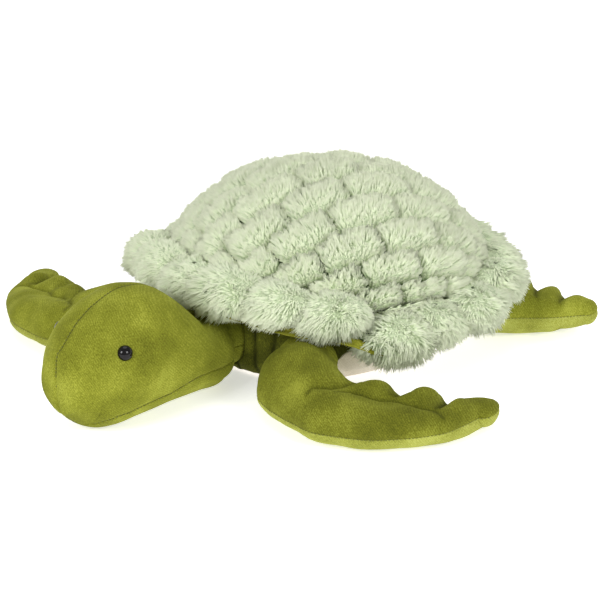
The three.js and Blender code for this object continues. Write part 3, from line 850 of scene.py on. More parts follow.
@dataclass
class ShellPlan:
    """Sizes in millimetres that the torso, the dome and the rim share.

    The belly's seam climbs over seam_climb radians, from seam_turn radians off the front. Each row of
    the rim gives a place from the front, 0, to the back, 1, and shares of the rim's radius, of its
    rise and of its thickness there.
    """

    centre_y: float = 8
    torso_half_width: float = 112
    torso_half_length: float = 131
    torso_squareness: float = 2.5
    torso_top: float = 61.8
    belly_seam: float = 30
    front_seam: float = 3
    seam_turn: float = 0.66
    seam_climb: float = 0.22
    dome_half_width: float = 138
    dome_half_length: float = 137
    dome_rise: float = 88
    dome_base: float = 60
    dome_squareness: float = 1.8
    rim_radius: float = 166
    rim_thickness: float = 17
    rim_edge: float = 40
    rim_high: float = 26
    lining_top: float = 64
    rim_rows: list = field(
        default_factory=lambda: [
            (0.00, 0.97, 1.00, 1.00), (0.10, 0.98, 0.96, 1.00), (0.19, 1.00, 0.82, 1.00),
            (0.25, 1.01, 0.62, 1.00), (0.29, 1.02, 0.25, 1.00), (0.32, 1.02, -0.05, 1.00),
            (0.41, 0.99, 0.02, 1.00), (0.53, 1.02, 0.15, 0.95), (0.66, 1.01, 0.35, 0.75),
            (0.78, 0.98, 0.42, 0.65), (0.89, 0.96, 0.30, 0.70), (1.00, 0.97, 0.25, 0.75),
        ]
    )

    def place(self, angle: Array, radius: Array, height: Array) -> Array:
        """Gives points round the shell.

        Args:
            angle: the angle from the front toward the animal's left.
            radius: the distance from the shell's middle, in millimetres.
            height: the height above the floor, in millimetres.

        Returns:
            The points in metres.
        """
        x = np.sin(angle) * radius
        y = self.centre_y - np.cos(angle) * radius
        return np.stack(np.broadcast_arrays(x, y, height), -1) * MM

    @staticmethod
    def oval(angle: Array, half_width: Array, half_length: Array, power: float) -> Array:
        """Gives the radius of a rounded oval.

        Args:
            angle: the angle from the front.
            half_width: half its width.
            half_length: half its length.
            power: 2 for an ellipse, more for a squarer form.

        Returns:
            The radius at each angle.
        """
        across = np.abs(np.sin(angle) / half_width) ** power
        along = np.abs(np.cos(angle) / half_length) ** power
        return (across + along) ** (-1 / power)

    def torso_radius(self, angle: Array, share: Array) -> Array:
        """Gives the torso's radius.

        Args:
            angle: the angle from the front.
            share: how much of its half width is left where it is drawn in.

        Returns:
            The radius in millimetres.
        """
        width = self.torso_half_width * share
        length = self.torso_half_length - self.torso_half_width * (1 - share)
        return self.oval(angle, width, length, self.torso_squareness)

    def seam_height(self, angle: Array) -> Array:
        """Gives the height of the belly's seam: low between the front flippers, higher behind them.

        Args:
            angle: the angle from the front.

        Returns:
            The height in millimetres.
        """
        share = np.clip((from_front(angle) - self.seam_turn) / self.seam_climb, 0, 1)
        return self.front_seam + (self.belly_seam - self.front_seam) * share * share * (3 - 2 * share)

    def dome_radius(self, angle: Array) -> Array:
        """Gives the dome's radius at its base."""
        return self.oval(angle, self.dome_half_width, self.dome_half_length, 2)

    def rim(self, angle: Array) -> tuple[Array, Array, Array]:
        """Gives the rim's form.

        Args:
            angle: the angle from the front.

        Returns:
            Its outer radius, the height of its edge and its thickness, in millimetres.
        """
        table = np.array(self.rim_rows)
        steps = np.interp(from_front(angle) / math.pi, table[:, 0], np.arange(len(table)))
        read = through(table, steps.ravel()).reshape(*steps.shape, table.shape[1])
        return (
            self.rim_radius * read[..., 1],
            self.rim_edge + self.rim_high * read[..., 2],
            self.rim_thickness * read[..., 3],
        )

    @property
    def dome_arc(self) -> float:
        """Length of the dome's profile from its top to its base."""
        return TURN / 4 * math.sqrt((self.dome_half_width**2 + self.dome_rise**2) / 2)


def finish_piece(
    piece: bpy.types.Object, finish: Finish, body: str, nodes: list[str]
) -> None:
    """Dresses a piece, ties it to its body and hides the CAD nodes that it replaces.

    Args:
        piece: the new piece.
        finish: what it is made of.
        body: the body that it rides on.
        nodes: the CAD nodes that it replaces.
    """
    finish.dress(piece)
    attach(piece, body)
    if nodes:
        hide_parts(*nodes)
    log.info("%s: %d faces on %s", piece.name, len(piece.data.polygons), body)


@dataclass
class Torso:
    """The stuffed body: a cream belly, olive sides up to the shell, and the filling inside.

    Sizes are in millimetres. The profile gives how much of its width the body has at each height, and
    each cup is a hollow for a limb: its centre and its radius. Gathers are counted over half a turn.
    """

    plan: ShellPlan
    cups: list = field(
        default_factory=lambda: [
            ((0, -124, 33), 27.6), ((87, -113, 28), 25.6), ((-87, -113, 28), 25.6),
            ((92, 84, 29), 20.6), ((-92, 84, 29), 20.6),
        ]
    )
    profile: list = field(
        default_factory=lambda: [(0, 0.86), (3.6, 0.93), (12.6, 0.985), (30, 1.0), (61.8, 0.985)]
    )
    seam_gap: float = 0.2
    seam_tuck: float = 0.015
    top_tuck: float = 0.055
    gathers: float = 22
    gather_depth: float = 3.2
    gather_spread: float = 0.95
    gather_fade: float = 12
    filling_inset: float = 7.5
    filling_low: float = 3
    filling_high: float = 126
    around: int = 480

    @property
    def angles(self) -> Array:
        """The angles round the torso at which its wall has points."""
        return np.linspace(0, TURN, self.around, endpoint=False)[None, :]

    def wall(self, heights: Array, inset: float = 0, drawn: float = 0) -> Array:
        """Gives rings of the torso's wall, drawn in toward the floor as the stuffed body is.

        Args:
            heights: the height of each point, in millimetres, one row for each ring.
            inset: how far the wall moves in, in millimetres.
            drawn: how much further it is drawn in, as a share.

        Returns:
            A grid of points, one row for each ring.
        """
        heights = np.broadcast_to(heights, (len(heights), self.around))
        levels, shares = np.array(self.profile).T
        steps = np.interp(heights, levels, np.arange(len(levels)))
        shares = through(shares[:, None], steps.ravel()).reshape(heights.shape) - drawn
        radius = self.plan.torso_radius(self.angles, shares) - inset
        return self.plan.place(self.angles, np.maximum(radius, 0.5), heights)

    def pressed(self, grid: Array, extra: float = 0) -> Array:
        """Presses the hollows for the head and the flippers into a wall.

        Args:
            grid: the wall.
            extra: added to each hollow's radius, in millimetres.

        Returns:
            The wall with its hollows.
        """
        normals = -grid_normals(grid, around=True)
        for centre, radius in self.cups:
            grid = cupped(grid, normals, np.array(centre) * MM, (radius + extra) * MM)
        return grid

    def belly(self) -> None:
        """Builds the cream belly, flat where it rests and rounded up to its seam."""
        seam = self.plan.seam_height(self.angles)
        wall = self.wall(np.linspace(0, 1, 16)[:, None] * seam)
        foot = self.profile[0][1]
        floor = [self.wall(np.zeros((1, 1)), 0, foot - left) for left in np.linspace(0.08, 0.84, 12)]
        grid = np.concatenate([*floor, wall, self.wall(seam - self.seam_gap, 0, self.seam_tuck)])
        normals = -grid_normals(grid, around=True)
        ruck = cloud(grid, 9 * MM, 3) * 0.5 * MM * np.clip(grid[..., 2] / (20 * MM), 0, 1)
        grid = self.pressed(grid + normals * ruck[..., None])
        grid[..., 2] = np.maximum(grid[..., 2], 0)
        middle = np.array([[0, self.plan.centre_y * MM, 0]])
        faces = grid_faces(len(grid), self.around, around=True).tolist()
        faces += cap_faces(0, self.around, len(grid) * self.around, downward=True)
        piece = mesh_piece("belly_cloth", np.concatenate([grid.reshape(-1, 3), middle]), faces)
        finish_piece(piece, CREAM, "torso", ["belly_panel"])

    def sides(self) -> None:
        """Builds the olive side wall, gathered at the neck and shoulders, in the darker olive copy with
        painted shade under the rim and painted shade in its gathers.
        """
        seam, top = self.plan.seam_height(self.angles), self.plan.torso_top
        wall = self.wall(seam + np.linspace(0, 1, 24)[:, None] * (top - seam))
        low = self.wall(seam + self.seam_gap, 0, self.seam_tuck)
        high = self.wall(np.full((1, 1), top - self.seam_gap), 0, self.top_tuck)
        grid = np.concatenate([low, wall, high])
        normals = -grid_normals(grid, around=True)
        turn = (self.angles + math.pi) % TURN - math.pi
        near = np.exp(-((turn / self.gather_spread) ** 4))
        gather = (1 - np.abs(np.sin(turn * self.gathers + cloud(grid, 14 * MM, 8)))) ** 2.5
        above = np.clip((grid[..., 2] / MM - seam) / self.gather_fade, 0, 1)
        ruck = 0.8 * cloud(grid * [1, 1, 0.35], 7 * MM, 5) - self.gather_depth * above * gather * near
        grid = self.pressed(grid + normals * ruck[..., None] * MM)
        faces = grid_faces(len(grid), self.around, around=True)
        piece = mesh_piece("body_side_cloth", grid.reshape(-1, 3), faces)
        # Painted shade in the neck gathers; the wall takes the darker olive copy, painted shade under the rim
        # and head
        paint_fold_shade(piece, 0.6 * gather**2 * near)
        finish_piece(piece, OLIVE_PAINTED_DEEP_SHADE, "torso", ["body_side_panel"])

    def filling(self) -> None:
        """Builds the body's filling just inside the cloth and up into the dome."""
        plan, angle, inset = self.plan, self.angles, self.filling_inset
        grid = self.wall(np.linspace(self.filling_low, plan.torso_top - 2, 16)[:, None], inset)
        lean = np.linspace(0.98, 0.02, 14)[:, None] * TURN / 4
        power = 2 / plan.dome_squareness
        reach = np.minimum(plan.dome_radius(angle) - 22, plan.torso_radius(angle, 1) - inset)
        rise = (self.filling_high - plan.dome_base) * np.cos(lean) ** power
        dome = plan.place(angle, reach * np.sin(lean) ** power, plan.dome_base + rise)
        grid = self.pressed(np.concatenate([grid, dome]), 5)
        caps = np.array([[0, plan.centre_y, self.filling_low], [0, plan.centre_y, self.filling_high]]) * MM
        last = len(grid) * self.around
        faces = grid_faces(len(grid), self.around, around=True).tolist()
        faces += cap_faces(0, self.around, last, downward=True)
        faces += cap_faces(last - self.around, self.around, last + 1)
        piece = mesh_piece("body_filling", np.concatenate([grid.reshape(-1, 3), caps]), faces)
        finish_piece(piece, FIBRE, "torso", ["body_stuffing"])

    def build(self) -> None:
        """Builds the torso's pieces."""
        self.belly()
        self.sides()
        self.filling()


@dataclass
class Strands:
    """Tapered strands of pile as plain mesh, gathered up and written as pieces."""

    name: str
    most: int = 21000
    roots: list = field(default_factory=list)

    def add(
        self, root: Array, run: Array, bend: Array, normal: Array, length: Array, width: Array, tone: Array
    ) -> None:
        """Adds strands.

        Args:
            root: where each starts.
            run: the direction in which each leaves.
            bend: how its tip is pulled aside, as a share of its length.
            normal: the outward direction of the fur there.
            length: how long each is, in metres.
            width: how wide each is near its root, in metres.
            tone: how light each is, from 0 to 1.
        """
        self.roots.append((root, run, bend, normal, length, width, tone))

    def build(self, body: str, nodes: list[str]) -> None:
        """Writes the strands as pieces of at most so many strands each.

        Args:
            body: the body that they ride on.
            nodes: the CAD nodes that they stand for.
        """
        parts = [np.concatenate([p[k] for p in self.roots]) for k in range(7)]
        count = len(parts[0])
        pieces = math.ceil(count / self.most)
        for number in range(pieces):
            chosen = slice(number * count // pieces, (number + 1) * count // pieces)
            self.piece(f"{self.name}_{number + 1}", [p[chosen] for p in parts], body, nodes)

    def piece(self, name: str, parts: list[Array], body: str, nodes: list[str]) -> None:
        """Writes one piece of strands, each with three sides that end in a point.

        Args:
            name: the piece's name.
            parts: roots, directions, bends, normals, lengths, widths and tones.
            body: the body that it rides on.
            nodes: the CAD nodes that it stands for.
        """
        root, run, bend, normal, length, width, tone = parts
        count = len(root)
        side = unit(np.cross(run, normal + 0.31 * np.roll(normal, 1, -1)))
        other = unit(np.cross(run, side))
        rings = [(0.0, 0.85), (0.66, 1.1)]
        last = 3 * len(rings)
        points = np.zeros((count, last + 1, 3))
        normals = np.zeros((count, last + 1, 3))
        marks = np.zeros((count, last + 1, 2))
        marks[:, :, 0] = tone[:, None]
        for i, (along, wide) in enumerate(rings):
            middle = root + (run * along + bend * along**2) * length[:, None]
            for k in range(3):
                turn = (k / 3 + 0.13) * TURN
                out = side * math.cos(turn) + other * math.sin(turn)
                points[:, 3 * i + k] = middle + out * (width * wide / 2)[:, None]
                normals[:, 3 * i + k] = unit(0.4 * out + 0.6 * normal)
                marks[:, 3 * i + k, 1] = along
        points[:, last] = root + (run + bend) * length[:, None]
        normals[:, last] = unit(run * 0.3 + normal)
        marks[:, last, 1] = 1.0
        quads = grid_faces(len(rings), 3, around=True)
        tips = np.array([[last - 3 + k, last - 3 + (k + 1) % 3, last] for k in range(3)])
        corners = np.concatenate([quads.ravel(), tips.ravel()])
        sides = [4] * len(quads) + [3] * 3
        starts = np.cumsum([0] + sides[:-1])
        loops = (corners[None] + (last + 1) * np.arange(count)[:, None]).ravel()
        mesh = bpy.data.meshes.new(name)
        mesh.vertices.add(count * (last + 1))
        mesh.vertices.foreach_set("co", points.ravel())
        mesh.loops.add(len(loops))
        mesh.loops.foreach_set("vertex_index", loops)
        mesh.polygons.add(count * len(sides))
        first = starts[None] + len(corners) * np.arange(count)[:, None]
        mesh.polygons.foreach_set("loop_start", first.ravel())
        mesh.polygons.foreach_set("loop_total", np.tile(sides, count))
        mesh.update(calc_edges=True)
        mesh.polygons.foreach_set("use_smooth", np.ones(count * len(sides), bool))
        layer = mesh.uv_layers.new(name="OFBake")
        layer.data.foreach_set("uv", marks.reshape(-1, 2)[loops].ravel())
        mesh.normals_split_custom_set_from_vertices(normals.reshape(-1, 3))
        piece = bpy.data.objects.new(name, mesh)
        bpy.context.scene.collection.objects.link(piece)
        finish_piece(piece, FUR, body, nodes)


@dataclass(frozen=True)
class Tuft:
    """One tuft of the rim: where it sits and the ovals between which its strands run."""

    centre: Array
    axes: Array
    inner: Array
    outer: Array
    shift: Array

    def strands(self, spot: Array) -> tuple[Array, Array]:
        """Gives the roots and tips of strands.

        Args:
            spot: the directions in which they leave the tuft's middle, along its own axes.

        Returns:
            The roots and the tips, in metres.
        """
        root = self.centre + (spot * self.inner) @ self.axes * MM
        tip = self.centre + (spot * self.outer + self.shift) @ self.axes * MM
        return root, tip


@dataclass
class Shell:
    """The back: fur cloth sewn in brick-like tiles, a thick tufted rim and an olive lining.

    Sizes are in millimetres. A tile falls by crest_fall to its crest's edge, by hollow_fall to the other
    edge and by end_fall to its ends, and some stand higher than others by about tile_play. Strands draw
    together in locks as wide as lock, by a share of lock_pull. A tuft's ovals are given along the rim,
    across it and up. The lining sags most at sag_at radians from the front.
    """

    plan: ShellPlan
    tile_length: float = 57
    tile_width: float = 29
    tile_lean: float = math.radians(-19)
    row_start: float = 1
    end_start: float = -32
    pile: float = 15
    stand: float = 3.0
    crest_fall: float = 5.0
    hollow_fall: float = 13.0
    end_fall: float = 8.0
    lock: float = 4.2
    lock_pull: float = 0.55
    spacing: float = 1.08
    tile_play: float = 2.4
    backing_swell: float = 5
    lobes: int = 20
    tuft_strands: int = 4300
    tuft_inset: float = 23
    tuft_root: tuple = (23, 14, 11)
    tuft_tip: tuple = (35, 28)
    tuft_top: float = 4
    core_inset: float = 22
    core_half: float = 8
    core_flat: float = 0.8
    lining_reach: float = 0.86
    lining_sag: float = 4.0
    sag_at: float = 0.6
    sag_spread: float = 0.28
    welt_inset: float = 14
    welt_radius: float = 4
    seed: int = 7

    def on_dome(self, along: Array, across: Array, lift: Array) -> tuple[Array, Array]:
        """Maps a place on the flat fur cloth to the dome.

        Args:
            along: distance along the tile rows, in millimetres.
            across: distance across them.
            lift: how far above the dome's surface.

        Returns:
            The point in metres and the outward direction there.
        """
        plan = self.plan
        x = across * math.cos(self.tile_lean) - along * math.sin(self.tile_lean)
        y = across * math.sin(self.tile_lean) + along * math.cos(self.tile_lean)
        arc = np.hypot(x, y)
        angle = np.arctan2(x, -y)
        half = plan.dome_radius(angle)
        lean = np.minimum(arc / plan.dome_arc, 1) * TURN / 4
        power = 2 / plan.dome_squareness
        drop = np.maximum(arc - plan.dome_arc, 0)
        out = np.sin(lean) / half
        up = np.cos(lean) / plan.dome_rise
        size = np.hypot(out, up)
        out, up = out / size, up / size
        radius = half * np.sin(lean) ** power + out * lift
        height = plan.dome_base + plan.dome_rise * np.maximum(np.cos(lean), 0) ** power - drop + up * lift
        normal = np.stack([np.sin(angle) * out, -np.cos(angle) * out, up], -1)
        return plan.place(angle, radius, height), normal

    def row_start_at(self, row: Array) -> Array:
        """Gives where a row's first tile begins: every other row is shifted by half a tile."""
        return self.end_start + (row % 2) * self.tile_length / 2

    def in_tile(self, along: Array, across: Array) -> tuple[Array, Array, Array, Array]:
        """Finds each place's tile.

        Args:
            along: distance along the tile rows, in millimetres.
            across: distance across them.

        Returns:
            The tile's row and number, and the place within it from -1 to 1 both ways.
        """
        row = np.floor((across - self.row_start) / self.tile_width)
        shift = self.row_start_at(row)
        number = np.floor((along - shift) / self.tile_length)
        u = 2 * ((along - shift) / self.tile_length - number) - 1
        v = 2 * ((across - self.row_start) / self.tile_width - row) - 1
        return row, number, u, v

    def backing(self) -> None:
        """Builds the knitted ground of the fur, sunk along the tiles' seams."""
        angle = np.linspace(0, TURN, 200, endpoint=False)[None, :]
        arc = np.linspace(0.4, self.plan.dome_arc + 16, 90)[:, None]
        x, y = np.sin(angle) * arc, -np.cos(angle) * arc
        across = x * math.cos(self.tile_lean) + y * math.sin(self.tile_lean)
        along = -x * math.sin(self.tile_lean) + y * math.cos(self.tile_lean)
        _, _, u, v = self.in_tile(along, across)
        edge = np.minimum((1 - np.abs(u)) * self.tile_length, (1 - np.abs(v)) * self.tile_width) / 2
        lift = self.backing_swell * (1 - np.exp(-edge / 4)) - self.pile - 1
        grid, _ = self.on_dome(along, across, lift)
        faces = grid_faces(*grid.shape[:2], around=True)[:, ::-1].tolist()
        faces.append(list(range(grid.shape[1])))
        piece = mesh_piece("shell_backing", grid.reshape(-1, 3), faces)
        finish_piece(piece, BACKING, "torso", ["shell_fur_cover"])

    def tile_tip(self, middle: tuple[Array, Array], u: Array, v: Array, extra: Array) -> Array:
        """Gives the tip of a strand: a tile swells like a pillow, with its crest on the far side.

        Args:
            middle: the tile's middle along and across the cloth, in millimetres.
            u: the place along the tile, from -1 to 1.
            v: the place across it, from -1 at its crest to 1.
            extra: how far this tile stands above the others, in millimetres.

        Returns:
            The tip's point in metres.
        """
        along = middle[0] + self.tile_length / 2 * u * (1.01 + 0.03 * v)
        across = middle[1] + self.tile_width / 2 * (1.12 * v - 0.22)
        fall = np.where(v < 0, self.crest_fall * np.abs(v) ** 7, self.hollow_fall * np.abs(v) ** 2.2)
        lift = self.stand + extra - fall - self.end_fall * np.abs(u) ** 7
        return self.on_dome(along, across, lift)[0]

    def tile_root(self, middle: tuple[Array, Array], u: Array, v: Array) -> tuple[Array, Array]:
        """Gives the root of a strand and the outward direction there; see tile_tip."""
        return self.on_dome(
            middle[0] + self.tile_length / 2 * 0.88 * u,
            middle[1] + self.tile_width / 2 * 0.80 * v,
            -self.pile + 3.5 * (1 - v * v) * (1 - u**6),
        )

    def extra(self, row: Array, number: Array) -> tuple[Array, Array]:
        """Gives a spot that stands for a tile in random patterns, and how far it stands above others."""
        tile = np.stack([number * 3.7, row * 5.3, 0.0 * row], -1)
        return tile, self.tile_play * cloud(tile, 1.3, 13)

    def above_rim(self, points: Array, least: float) -> Array:
        """Tells which points of the dome lie so many millimetres above the rim's edge."""
        _, edge, _ = self.plan.rim(np.arctan2(points[..., 0], self.plan.centre_y * MM - points[..., 1]))
        return points[..., 2] > (edge + least) * MM

    def dome_undercoat(self) -> None:
        """Builds the short undercoat that fills each tile, with a crevice round it."""
        u, v = np.meshgrid(np.linspace(-1, 1, 27) * 0.97, np.linspace(-1, 1, 15) * 0.95)
        share = (0.64 - 0.2 * np.clip(-v, 0, 1)) * (1 - np.abs(u) ** 12) * (1 - np.abs(v) ** 12)
        grids = []
        for row in np.arange(-8.0, 9.0):
            for number in np.arange(-5.0, 6.0):
                along = self.row_start_at(row) + (number + 0.5) * self.tile_length
                across = self.row_start + (row + 0.5) * self.tile_width
                if math.hypot(along, across) > self.plan.dome_arc + 34:
                    continue
                _, extra = self.extra(np.full_like(u, row), np.full_like(u, number))
                root, _ = self.tile_root((along, across), u, v)
                tip = self.tile_tip((along, across), u, v, extra)
                grid = root + (tip - root) * share[..., None]
                found = grid_faces(*grid.shape[:2])
                shown = self.above_rim(grid, 4).ravel()[found].all(1)
                grids.append((grid, found[shown][:, ::-1]))
        piece = mesh_piece("shell_undercoat", *joined(grids))
        finish_piece(piece, UNDERCOAT, "torso", ["shell_fur_cover"])

    def dome_pile(self) -> None:
        """Grows the dome's pile: each tile a block that fans out over its edges."""
        rng = np.random.default_rng(self.seed)
        reach = self.plan.dome_arc + 22
        steps = np.arange(-reach, reach, self.spacing)
        across, along = np.meshgrid(steps, steps)
        across = across.ravel() + rng.uniform(-0.5, 0.5, across.size) * self.spacing
        along = along.ravel() + rng.uniform(-0.5, 0.5, along.size) * self.spacing
        inside = np.hypot(across, along) < reach
        across, along = across[inside], along[inside]
        crest = self.in_tile(along, across)[3] < -0.25
        across = np.concatenate([across, across[crest] + 0.45 * self.spacing])
        along = np.concatenate([along, along[crest] + rng.uniform(-0.5, 0.5, crest.sum()) * self.spacing])
        row, number, u, v = self.in_tile(along, across)
        middle = (along - u * self.tile_length / 2, across - v * self.tile_width / 2)
        tile, extra = self.extra(row, number)
        root, normal = self.tile_root(middle, u, v)
        tip = self.tile_tip(middle, u, v, extra)
        lip = 0.04
        swell = unit(
            np.cross(
                self.tile_tip(middle, u, v + lip, extra) - self.tile_tip(middle, u, v - lip, extra),
                self.tile_tip(middle, u + lip, v, extra) - self.tile_tip(middle, u - lip, v, extra),
            )
        )
        shown = self.above_rim(tip, -2)
        root, tip, normal, swell, tile, u, v = (k[shown] for k in (root, tip, normal, swell, tile, u, v))
        reach_out = tip + self.lock_pull * (lock_middles(root, tip, self.lock * MM) - tip) - root
        tall = np.linalg.norm(reach_out, axis=1)
        curl = clouds(tip, 9 * MM, 21, 22, 23)
        wisp = clouds(tip, 3 * MM, 24, 25, 26)
        sway = clouds(tile, 1.3, 11, 12, 14)
        run = unit(
            unit(reach_out + 0.25 * normal * tall[:, None])
            + 0.10 * sway
            + 0.16 * curl
            + 0.12 * wisp
            + rng.normal(0, 0.04, root.shape)
        )
        bend = 0.22 * (unit(reach_out) - normal)
        bend += 0.10 * np.roll(curl, 1, -1) + 0.12 * np.roll(wisp, 1, -1)
        length = tall * rng.uniform(0.92, 1.05, len(root)) * (1 + 0.06 * cloud(tip, 5 * MM, 31))
        width = rng.uniform(1.0, 1.4, len(root)) * MM
        # The tone falls toward each tile's hollow side: painted shade where the next crest shades the pile
        tone = 0.60 + 0.24 * cloud(tip, 3.0 * MM, 41) + 0.10 * cloud(tile, 1.3, 42) - 0.22 * np.clip(v, 0, 1)
        tone = np.clip(tone + rng.normal(0, 0.09, len(root)), 0.02, 0.98)
        strands = Strands("shell_pile")
        strands.add(root, run, bend, swell, length, width, tone)
        strands.build("torso", ["shell_fur_cover"])

    def rim_core(self) -> None:
        """Builds the stuffed core of the rim, hidden in its pile."""
        angle = np.linspace(0, TURN, 240, endpoint=False)[:, None]
        turn = np.linspace(0, TURN, 20, endpoint=False)[None, :]
        radius, edge, _ = self.plan.rim(angle)
        grid = self.plan.place(
            angle,
            radius - self.core_inset + self.core_half * np.cos(turn),
            edge + self.core_half * (1 + self.core_flat * np.sin(turn)),
        )
        rows, columns = grid.shape[:2]
        last = (rows - 1) * columns
        faces = grid_faces(rows, columns, around=True).tolist()
        for k in range(columns):
            after = (k + 1) % columns
            faces.append([last + k, last + after, after, k])
        piece = mesh_piece("rim_core", grid.reshape(-1, 3), [f[::-1] for f in faces])
        finish_piece(piece, BACKING, "torso", ["shell_rim"])

    def tuft(self, number: int) -> Tuft:
        """Gives one tuft of the rim; the tufts at the front hang less, over the lining's welt.

        Args:
            number: which tuft it is, counted from the front toward the animal's left.

        Returns:
            The tuft.
        """
        rng = np.random.default_rng([self.seed, number])
        angle = (number + 0.5 + rng.uniform(-0.12, 0.12)) / self.lobes * TURN
        radius, edge, thick = (float(k) for k in self.plan.rim(np.array(angle)))
        size = rng.uniform(0.92, 1.1)
        lifted = 5 * math.exp(-(((from_front(angle) - 0.5) / 0.3) ** 2))
        height = edge + 10 + lifted + rng.uniform(-2, 2)
        return Tuft(
            centre=self.plan.place(angle, radius - self.tuft_inset, height),
            axes=np.array(
                [[math.cos(angle), math.sin(angle), 0], [math.sin(angle), -math.cos(angle), 0], [0, 0, 1]]
            ),
            inner=np.array(self.tuft_root) * size,
            outer=np.array([*self.tuft_tip, thick + self.tuft_top]) * size,
            shift=np.array([rng.uniform(-7, -1), 1.5, -2.0]),
        )

    def rim_undercoat(self) -> None:
        """Builds the short undercoat inside each tuft of the rim."""
        turns, leans = np.linspace(0, TURN, 28, endpoint=False), np.linspace(0.03, 0.97, 15) * math.pi
        turn, lean = np.meshgrid(turns, leans)
        spot = np.stack([np.cos(turn) * np.sin(lean), np.sin(turn) * np.sin(lean), np.cos(lean)], -1)
        grids = []
        for number in range(self.lobes):
            root, tip = self.tuft(number).strands(spot)
            grids.append((root + (tip - root) * 0.55, grid_faces(*spot.shape[:2], around=True)))
        piece = mesh_piece("rim_undercoat", *joined(grids))
        finish_piece(piece, UNDERCOAT, "torso", ["shell_rim"])

    def rim_pile(self) -> None:
        """Grows the rim's pile in tufts that spread like pompons and hang over the lining."""
        rng = np.random.default_rng(self.seed + 1)
        strands = Strands("rim_pile")
        for number in range(self.lobes):
            tuft = self.tuft(number)
            spot = unit(rng.normal(0, 1, (self.tuft_strands, 3)))
            _, outward, upward = spot.T
            spot = spot[(outward > -0.6) & (upward > -0.9)]
            root, tip = tuft.strands(spot)
            normal = unit((spot / np.array([1.3, 1.0, 0.8])) @ tuft.axes)
            reach = np.linalg.norm(tip - root, axis=1)
            curl = clouds(tip, 10 * MM, 61, 62, 63)
            wisp = clouds(tip, 3.5 * MM, 64, 65, 66)
            stray = 0.30 * curl + 0.20 * wisp + rng.normal(0, 0.07, root.shape)
            run = unit(tip - root + reach[:, None] * stray)
            bend = 0.24 * np.roll(curl, 1, -1) + 0.20 * np.roll(wisp, 1, -1) + np.array([0, 0, -0.14])
            length = reach * rng.uniform(0.9, 1.08, len(root)) * (1 + 0.08 * cloud(tip, 6 * MM, 67))
            width = rng.uniform(1.0, 1.45, len(root)) * MM
            tone = 0.56 + 0.18 * cloud(tip, 4 * MM, 71) + rng.normal(0, 0.09, len(root))
            strands.add(root, run, bend, normal, length, width, np.clip(tone, 0.02, 0.98))
        strands.build("torso", ["shell_rim"])

    def lining(self) -> None:
        """Builds the olive lining, from the torso's wall out to a rolled welt at the rim's edge."""
        plan, reach, welt = self.plan, self.lining_reach, self.welt_radius
        angle = np.linspace(0, TURN, 360, endpoint=False)[None, :]
        radius, edge, _ = plan.rim(angle)
        inner = plan.torso_radius(angle, 0.985)
        share = np.linspace(0.02, reach, 14)[:, None]
        most = 1.0 + self.lining_sag * np.exp(-(((from_front(angle) - self.sag_at) / self.sag_spread) ** 2))
        sag = most * np.sin(share / reach * TURN / 4)
        slope = plan.place(
            angle,
            inner + (radius - inner) * share,
            plan.lining_top + (edge - plan.lining_top) * share - 1.2 - sag,
        )
        turns = np.linspace(-0.2, 0.4, 8)[:, None] * TURN
        rolled = plan.place(
            angle,
            radius - self.welt_inset + welt * np.cos(turns),
            edge + 2.5 - most + welt * np.sin(turns),
        )
        grid = np.concatenate([slope, rolled])
        grid[..., 2] += 0.7 * MM * cloud(grid, 6 * MM, 81)
        faces = grid_faces(*grid.shape[:2], around=True)
        piece = mesh_piece("shell_lining_cloth", grid.reshape(-1, 3), faces)
        finish_piece(piece, LINING, "torso", ["shell_lining"])

    def build(self) -> None:
        """Builds the shell's pieces."""
        self.lining()
        self.backing()
        self.rim_core()
        self.dome_undercoat()
        self.rim_undercoat()
        self.dome_pile()
        self.rim_pile()


# Where the rings of cloth lie on a joint's ball, in turns from its middle, and then the limb begins
BALL_RINGS = (0.245, 0.21, 0.125, 0.04, -0.05)


@dataclass(frozen=True)
class Crease:
    """A fold in a flipper: its line in millimetres about the root, its depth and its width."""

    fold: Fold
    depth: float
    width: float
    line: tuple

    def press(self, places: Array) -> Array:
        """Tells how far the cloth goes in.

        Args:
            places: places in the panel's plan, in metres about the root.

        Returns:
            The depth at each place, in metres.
        """
        away, along = near_line(places, np.array(self.line) * MM)
        soft = np.exp(-((away / (self.width * MM)) ** 2))
        ends = np.clip(np.minimum(along, 1 - along) * 5, 0, 1)
        if self.fold is Fold.SWELL:
            return self.depth * MM * (0.15 + 0.85 * np.sin(math.pi * np.clip(along, 0, 1)) ** 0.8) * soft
        fade = np.clip(1 - along, 0, 1) ** 0.35 if self.fold is Fold.GROOVE else ends
        sharp = np.exp(-away / (self.width * MM))
        wide = np.exp(-((away / (self.width * 2.4 * MM)) ** 2))
        return self.depth * MM * fade * (0.7 * sharp + 0.4 * wide)

    def shade(self, places: Array) -> Array:
        """Tells how much of the fold's shade lies on the cloth.

        Args:
            places: places in the panel's plan, in metres about the root.

        Returns:
            A share from 0 to 1 for each place.
        """
        if self.fold is Fold.SWELL:
            return np.zeros(places.shape[:-1])
        away, along = near_line(places, np.array(self.line) * MM)
        if self.fold is Fold.GROOVE:
            share, width = 0.5 + 0.5 * np.clip(1 - along, 0, 1), 2.4 * MM
        else:
            share, width = 0.4, 1.5 * MM
        return share * np.exp(-((away / width) ** 1.4))


